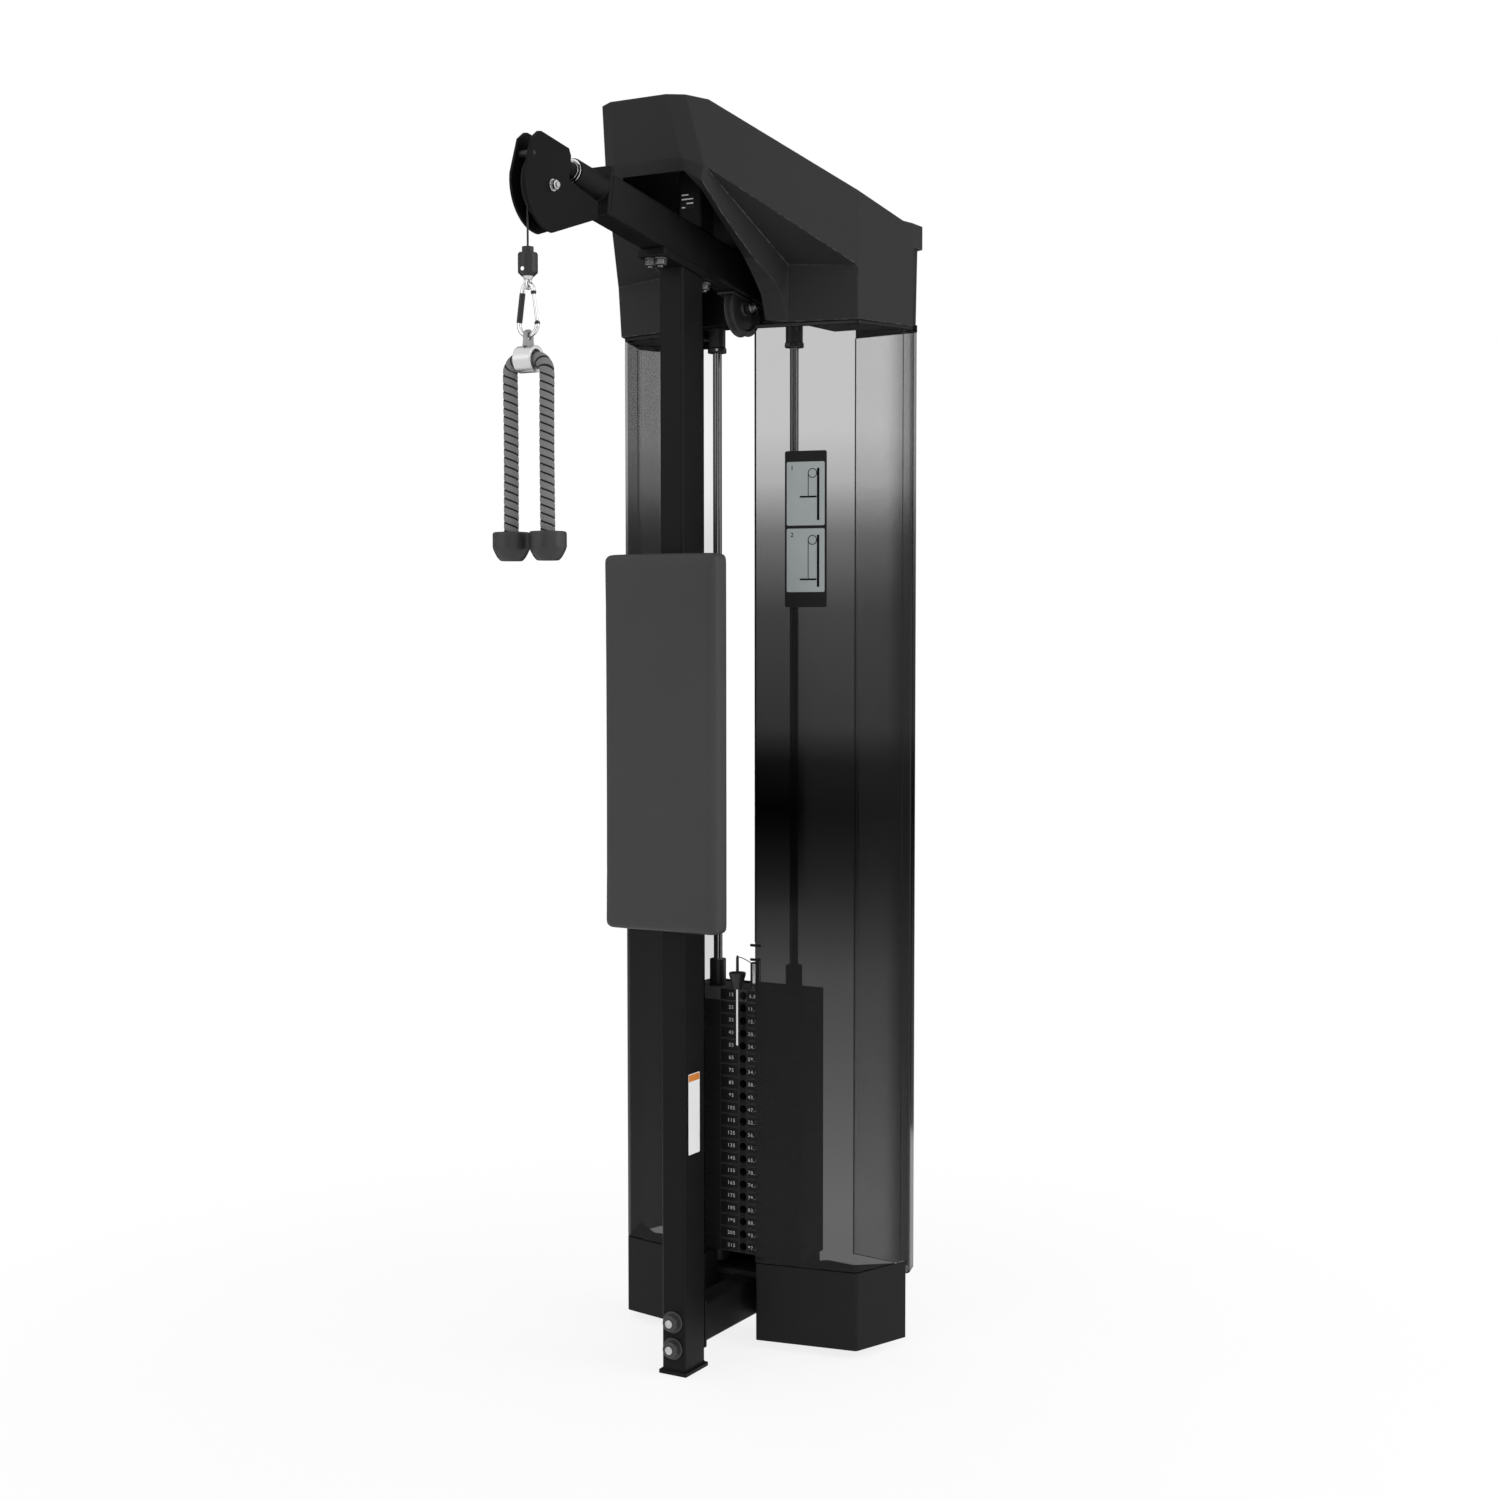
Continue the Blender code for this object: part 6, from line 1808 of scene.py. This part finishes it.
def makeHoodSupport():
    y, wide = supportLook["y"], supportLook["wide"]
    bm = shaped(
        addTubeWall, supportLook["low"], supportLook["high"], Matrix.Translation((0, y, 0)), wide=wide,
        deep=wide,
    )
    cutOff(bm, boomPoint(0, tubeLook["deep"] / 2 + clearance), -rise)
    front, rear = Vector(hoodPoints["roof1"]), Vector(hoodPoints["roof2"])
    line = (rear - front).normalized()
    up = Vector((1, 0, 0)).cross(line)
    cutOff(bm, front - up * (hoodLook["wall"] + 0.001), up)
    buildTube(
        "hood_strut", bm, lambda f: (0, y, f.calc_center_median().z), "hood_support",
        wall=supportLook["wall"],
    )


print("shrouds and hood")
makeShrouds()
makeHood()
makeHoodSupport()


# ---- back pad

padLook = {
    "half": 0.1245, "bottom": 0.8535, "top": 1.5595, "front": -0.0857, "rear": -0.0384, "corner": 0.012,
    "plan": 0.0125, "voxel": 0.0040, "shrink": 0.0010, "pressure": 2.0, "frames": 20, "cap": 0.0020,
    "board": 0.0012, "boardInset": 0.010, "swell": (0.2, 1, 0.2),
}


def padBlank():
    # the cushion before it is filled: a little small, rounded along its front edges
    half, less, corner = padLook["half"] - padLook["shrink"], padLook["shrink"], padLook["corner"]
    tall = padLook["top"] - padLook["bottom"] - 2 * less
    middle = (padLook["top"] + padLook["bottom"]) / 2
    front = padLook["front"] + less
    steps = 6
    rows = [(padLook["rear"] - padLook["board"], 0.0)]
    for number in range(steps + 1):
        turn = math.radians(90 * number / steps)
        rows.append((front + corner * (1 - math.sin(turn)), corner * (1 - math.cos(turn))))
    bm = bmesh.new()
    rings = []
    for y, inset in rows:
        outline = roundedOutline(2 * (half - inset), tall - 2 * inset, padLook["plan"] - inset)
        rings.append([bm.verts.new((x, y, middle + z)) for x, z in outline])
    for near, far in zip(rings, rings[1:]):
        for k in range(len(near)):
            n = (k + 1) % len(near)
            bm.faces.new((near[k], near[n], far[n], far[k]))
    bm.faces.new(rings[0])
    bm.faces.new(rings[-1])
    return bm


def fillPad(piece):
    remesh = piece.modifiers.new("skin", "REMESH")
    remesh.mode = "VOXEL"
    remesh.voxel_size = padLook["voxel"]
    bakeDown(piece)
    start = [v.co.copy() for v in piece.data.vertices]
    hold = piece.vertex_groups.new(name="hold")
    back = max(co.y for co in start)
    hold.add([i for i, co in enumerate(start) if co.y > back - 0.004], 1.0, "REPLACE")
    cloth = piece.modifiers.new("cloth", "CLOTH")
    knobs = cloth.settings
    knobs.quality = 6
    knobs.mass = 0.4
    knobs.tension_stiffness = 40
    knobs.compression_stiffness = 40
    knobs.shear_stiffness = 20
    knobs.bending_stiffness = 4
    knobs.use_pressure = True
    knobs.uniform_pressure_force = padLook["pressure"]
    knobs.vertex_group_mass = "hold"
    knobs.effector_weights.gravity = 0
    cloth.collision_settings.use_collision = False
    cloth.point_cache.frame_start = 1
    cloth.point_cache.frame_end = padLook["frames"]
    for number in range(1, padLook["frames"] + 1):
        shop.frame_set(number)
    seen = piece.evaluated_get(bpy.context.evaluated_depsgraph_get())
    filled = [v.co.copy() for v in seen.to_mesh().vertices]
    seen.to_mesh_clear()
    piece.modifiers.remove(cloth)
    piece.vertex_groups.clear()
    furthest = 0.0
    for vert, was, now in zip(piece.data.vertices, start, filled):
        # the cushion swells forward, and its outline stays as it was cut
        move = (now - was) * Vector(padLook["swell"])
        furthest = max(furthest, move.length)
        if move.length > padLook["cap"]:
            move *= padLook["cap"] / move.length
        vert.co = was + move
    shop.frame_set(1)
    print("pad swelled by at most %.1f mm before its cap" % (furthest * 1000))


def makePad():
    bm = padBlank()
    bmesh.ops.recalc_face_normals(bm, faces=bm.faces)
    piece = settle("pad_cushion", newMesh("pad_cushion", bm), leathercloth)
    fillPad(piece)
    calm = piece.modifiers.new("calm", "SMOOTH")
    calm.factor = 0.5
    calm.iterations = 8
    finer = piece.modifiers.new("finer", "SUBSURF")
    finer.levels = finer.render_levels = 1
    piece.data.shade_smooth()
    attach(piece, "frame")
    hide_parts("back_pad")
    if not piece.data.materials:
        piece.data.materials.append(leathercloth)
    bm = bmesh.new()
    inset = padLook["boardInset"]
    addBox(
        bm, (-padLook["half"] + inset, padLook["rear"] - 0.0030, padLook["bottom"] + inset),
        (padLook["half"] - inset, padLook["rear"], padLook["top"] - inset), radius=0.008, axis=1,
    )
    build("pad_board", bm, backingBoard, soft=0.0004)


print("pad")
makePad()


# ---- placard and labels

placardLook = {
    "from": (0.120, 0.184), "to": (0.203, 0.199), "low": 1.461, "high": 1.760, "thick": 0.0012,
    "border": 0.0040, "gap": 0.0060, "header": 0.0210, "footer": 0.0290,
}


def placardFrame():
    # a frame whose X runs along the shroud's front panel and whose Z stands off it
    a, b = Vector((*placardLook["from"], 0)), Vector((*placardLook["to"], 0))
    right = (b - a).normalized()
    outward = right.cross(Vector((0, 0, 1)))
    middle = (a + b) / 2 + Vector((0, 0, (placardLook["low"] + placardLook["high"]) / 2))
    turn = Matrix((right, Vector((0, 0, 1)), outward)).transposed().to_4x4()
    return Matrix.Translation(middle) @ turn, (b - a).length


def makePlacard():
    place, wide = placardFrame()
    tall, thick = placardLook["high"] - placardLook["low"], placardLook["thick"]
    bm = shaped(addPlate, roundedOutline(wide, tall, 0.004), 0.0006, 0.0006 + thick, place)
    build("placard", bm, coverPlastic, soft=0.0003)
    border, gap = placardLook["border"], placardLook["gap"]
    header, footer = placardLook["header"], placardLook["footer"]
    paneTall = (tall - header - footer - gap) / 2
    paneWide = wide - 2 * border
    bm = bmesh.new()
    lines = bmesh.new()
    for row in (0, 1):
        centre = (0.5 - row) * (paneTall + gap) + (footer - header) / 2
        at = place @ Matrix.Translation((0, centre, 0.0006 + thick))
        addPlate(bm, roundedOutline(paneWide, paneTall, 0.003), -0.0002, 0.0002, at)
        motif(lines, at, paneWide, paneTall, row)
        corner = Matrix.Translation((-paneWide * 0.36, paneTall * 0.40, 0.0004))
        mesh = textMesh(str(row + 1), 0.012, at @ corner)
        lines.from_mesh(mesh)
        bpy.data.meshes.remove(mesh)
    build("placard_panes", bm, panelGrey)
    build("placard_marks", lines, gapBlack)


def motif(bm, at, wide, tall, row):
    # plain line picture of a wheel, its cable and a bar, low or high
    z = 0.0004
    ring = [(x, y, z) for x, y in arcPoints((wide * 0.18, tall * 0.32), tall * 0.07, 0, 350, 35)]
    before = set(bm.verts)
    addSweep(bm, ring, (0, 0, 1), 0.0007, 8, closed=True)
    reach = -tall * (0.05 if row == 0 else 0.30)
    left = wide * 0.18 - tall * 0.07
    addBox(bm, (left - 0.0006, reach, 0), (left + 0.0006, tall * 0.32, 0.0006))
    addBox(bm, (left - wide * 0.22, reach - 0.0016, 0), (left + wide * 0.22, reach + 0.0016, 0.0006))
    addBox(bm, (wide * 0.30, -tall * 0.42, 0), (wide * 0.36, tall * 0.40, 0.0006))
    placed(bm, before, at)


postLabelLook = {"y": (-0.022, 0.0185), "z": (0.4225, 0.5770), "band": (0.5625, 0.5755)}
strutPlateLook = {
    "x": (-0.0190, 0.0110), "z": (2.206, 2.236), "half": 0.0011,
    # height, left and right of each printed line
    "lines": [
        (2.2325, -0.0165, -0.0020), (2.2245, -0.0165, 0.0085), (2.2165, -0.0060, 0.0085),
        (2.2095, -0.0165, -0.0090),
    ],
}


def makeLabels():
    x = tubeLook["wide"] / 2
    (y0, y1), (z0, z1) = postLabelLook["y"], postLabelLook["z"]
    bm = shaped(addBox, (x + 0.00002, y0, z0), (x + 0.00030, y1, z1), radius=0.002, axis=0)
    build("post_label", bm, labelWhite)
    bm = bmesh.new()
    low, high = postLabelLook["band"]
    addBox(bm, (x + 0.00030, y0 + 0.001, low), (x + 0.00040, y1 - 0.001, high))
    build("post_label_band", bm, labelOrange)
    face = supportLook["y"] - supportLook["wide"] / 2
    (x0, x1), (z0, z1), half = (strutPlateLook[k] for k in ("x", "z", "half"))
    bm = shaped(addBox, (x0, face - 0.0005, z0), (x1, face - 0.00002, z1), radius=0.0015, axis=1)
    build("strut_plate", bm, stickerBlack)
    bm = bmesh.new()
    for z, low, high in strutPlateLook["lines"]:
        addBox(bm, (low, face - 0.0007, z - half), (high, face - 0.0005, z + half))
    build("strut_marks", bm, labelWhite)


print("placard and labels")
makePlacard()
makeLabels()
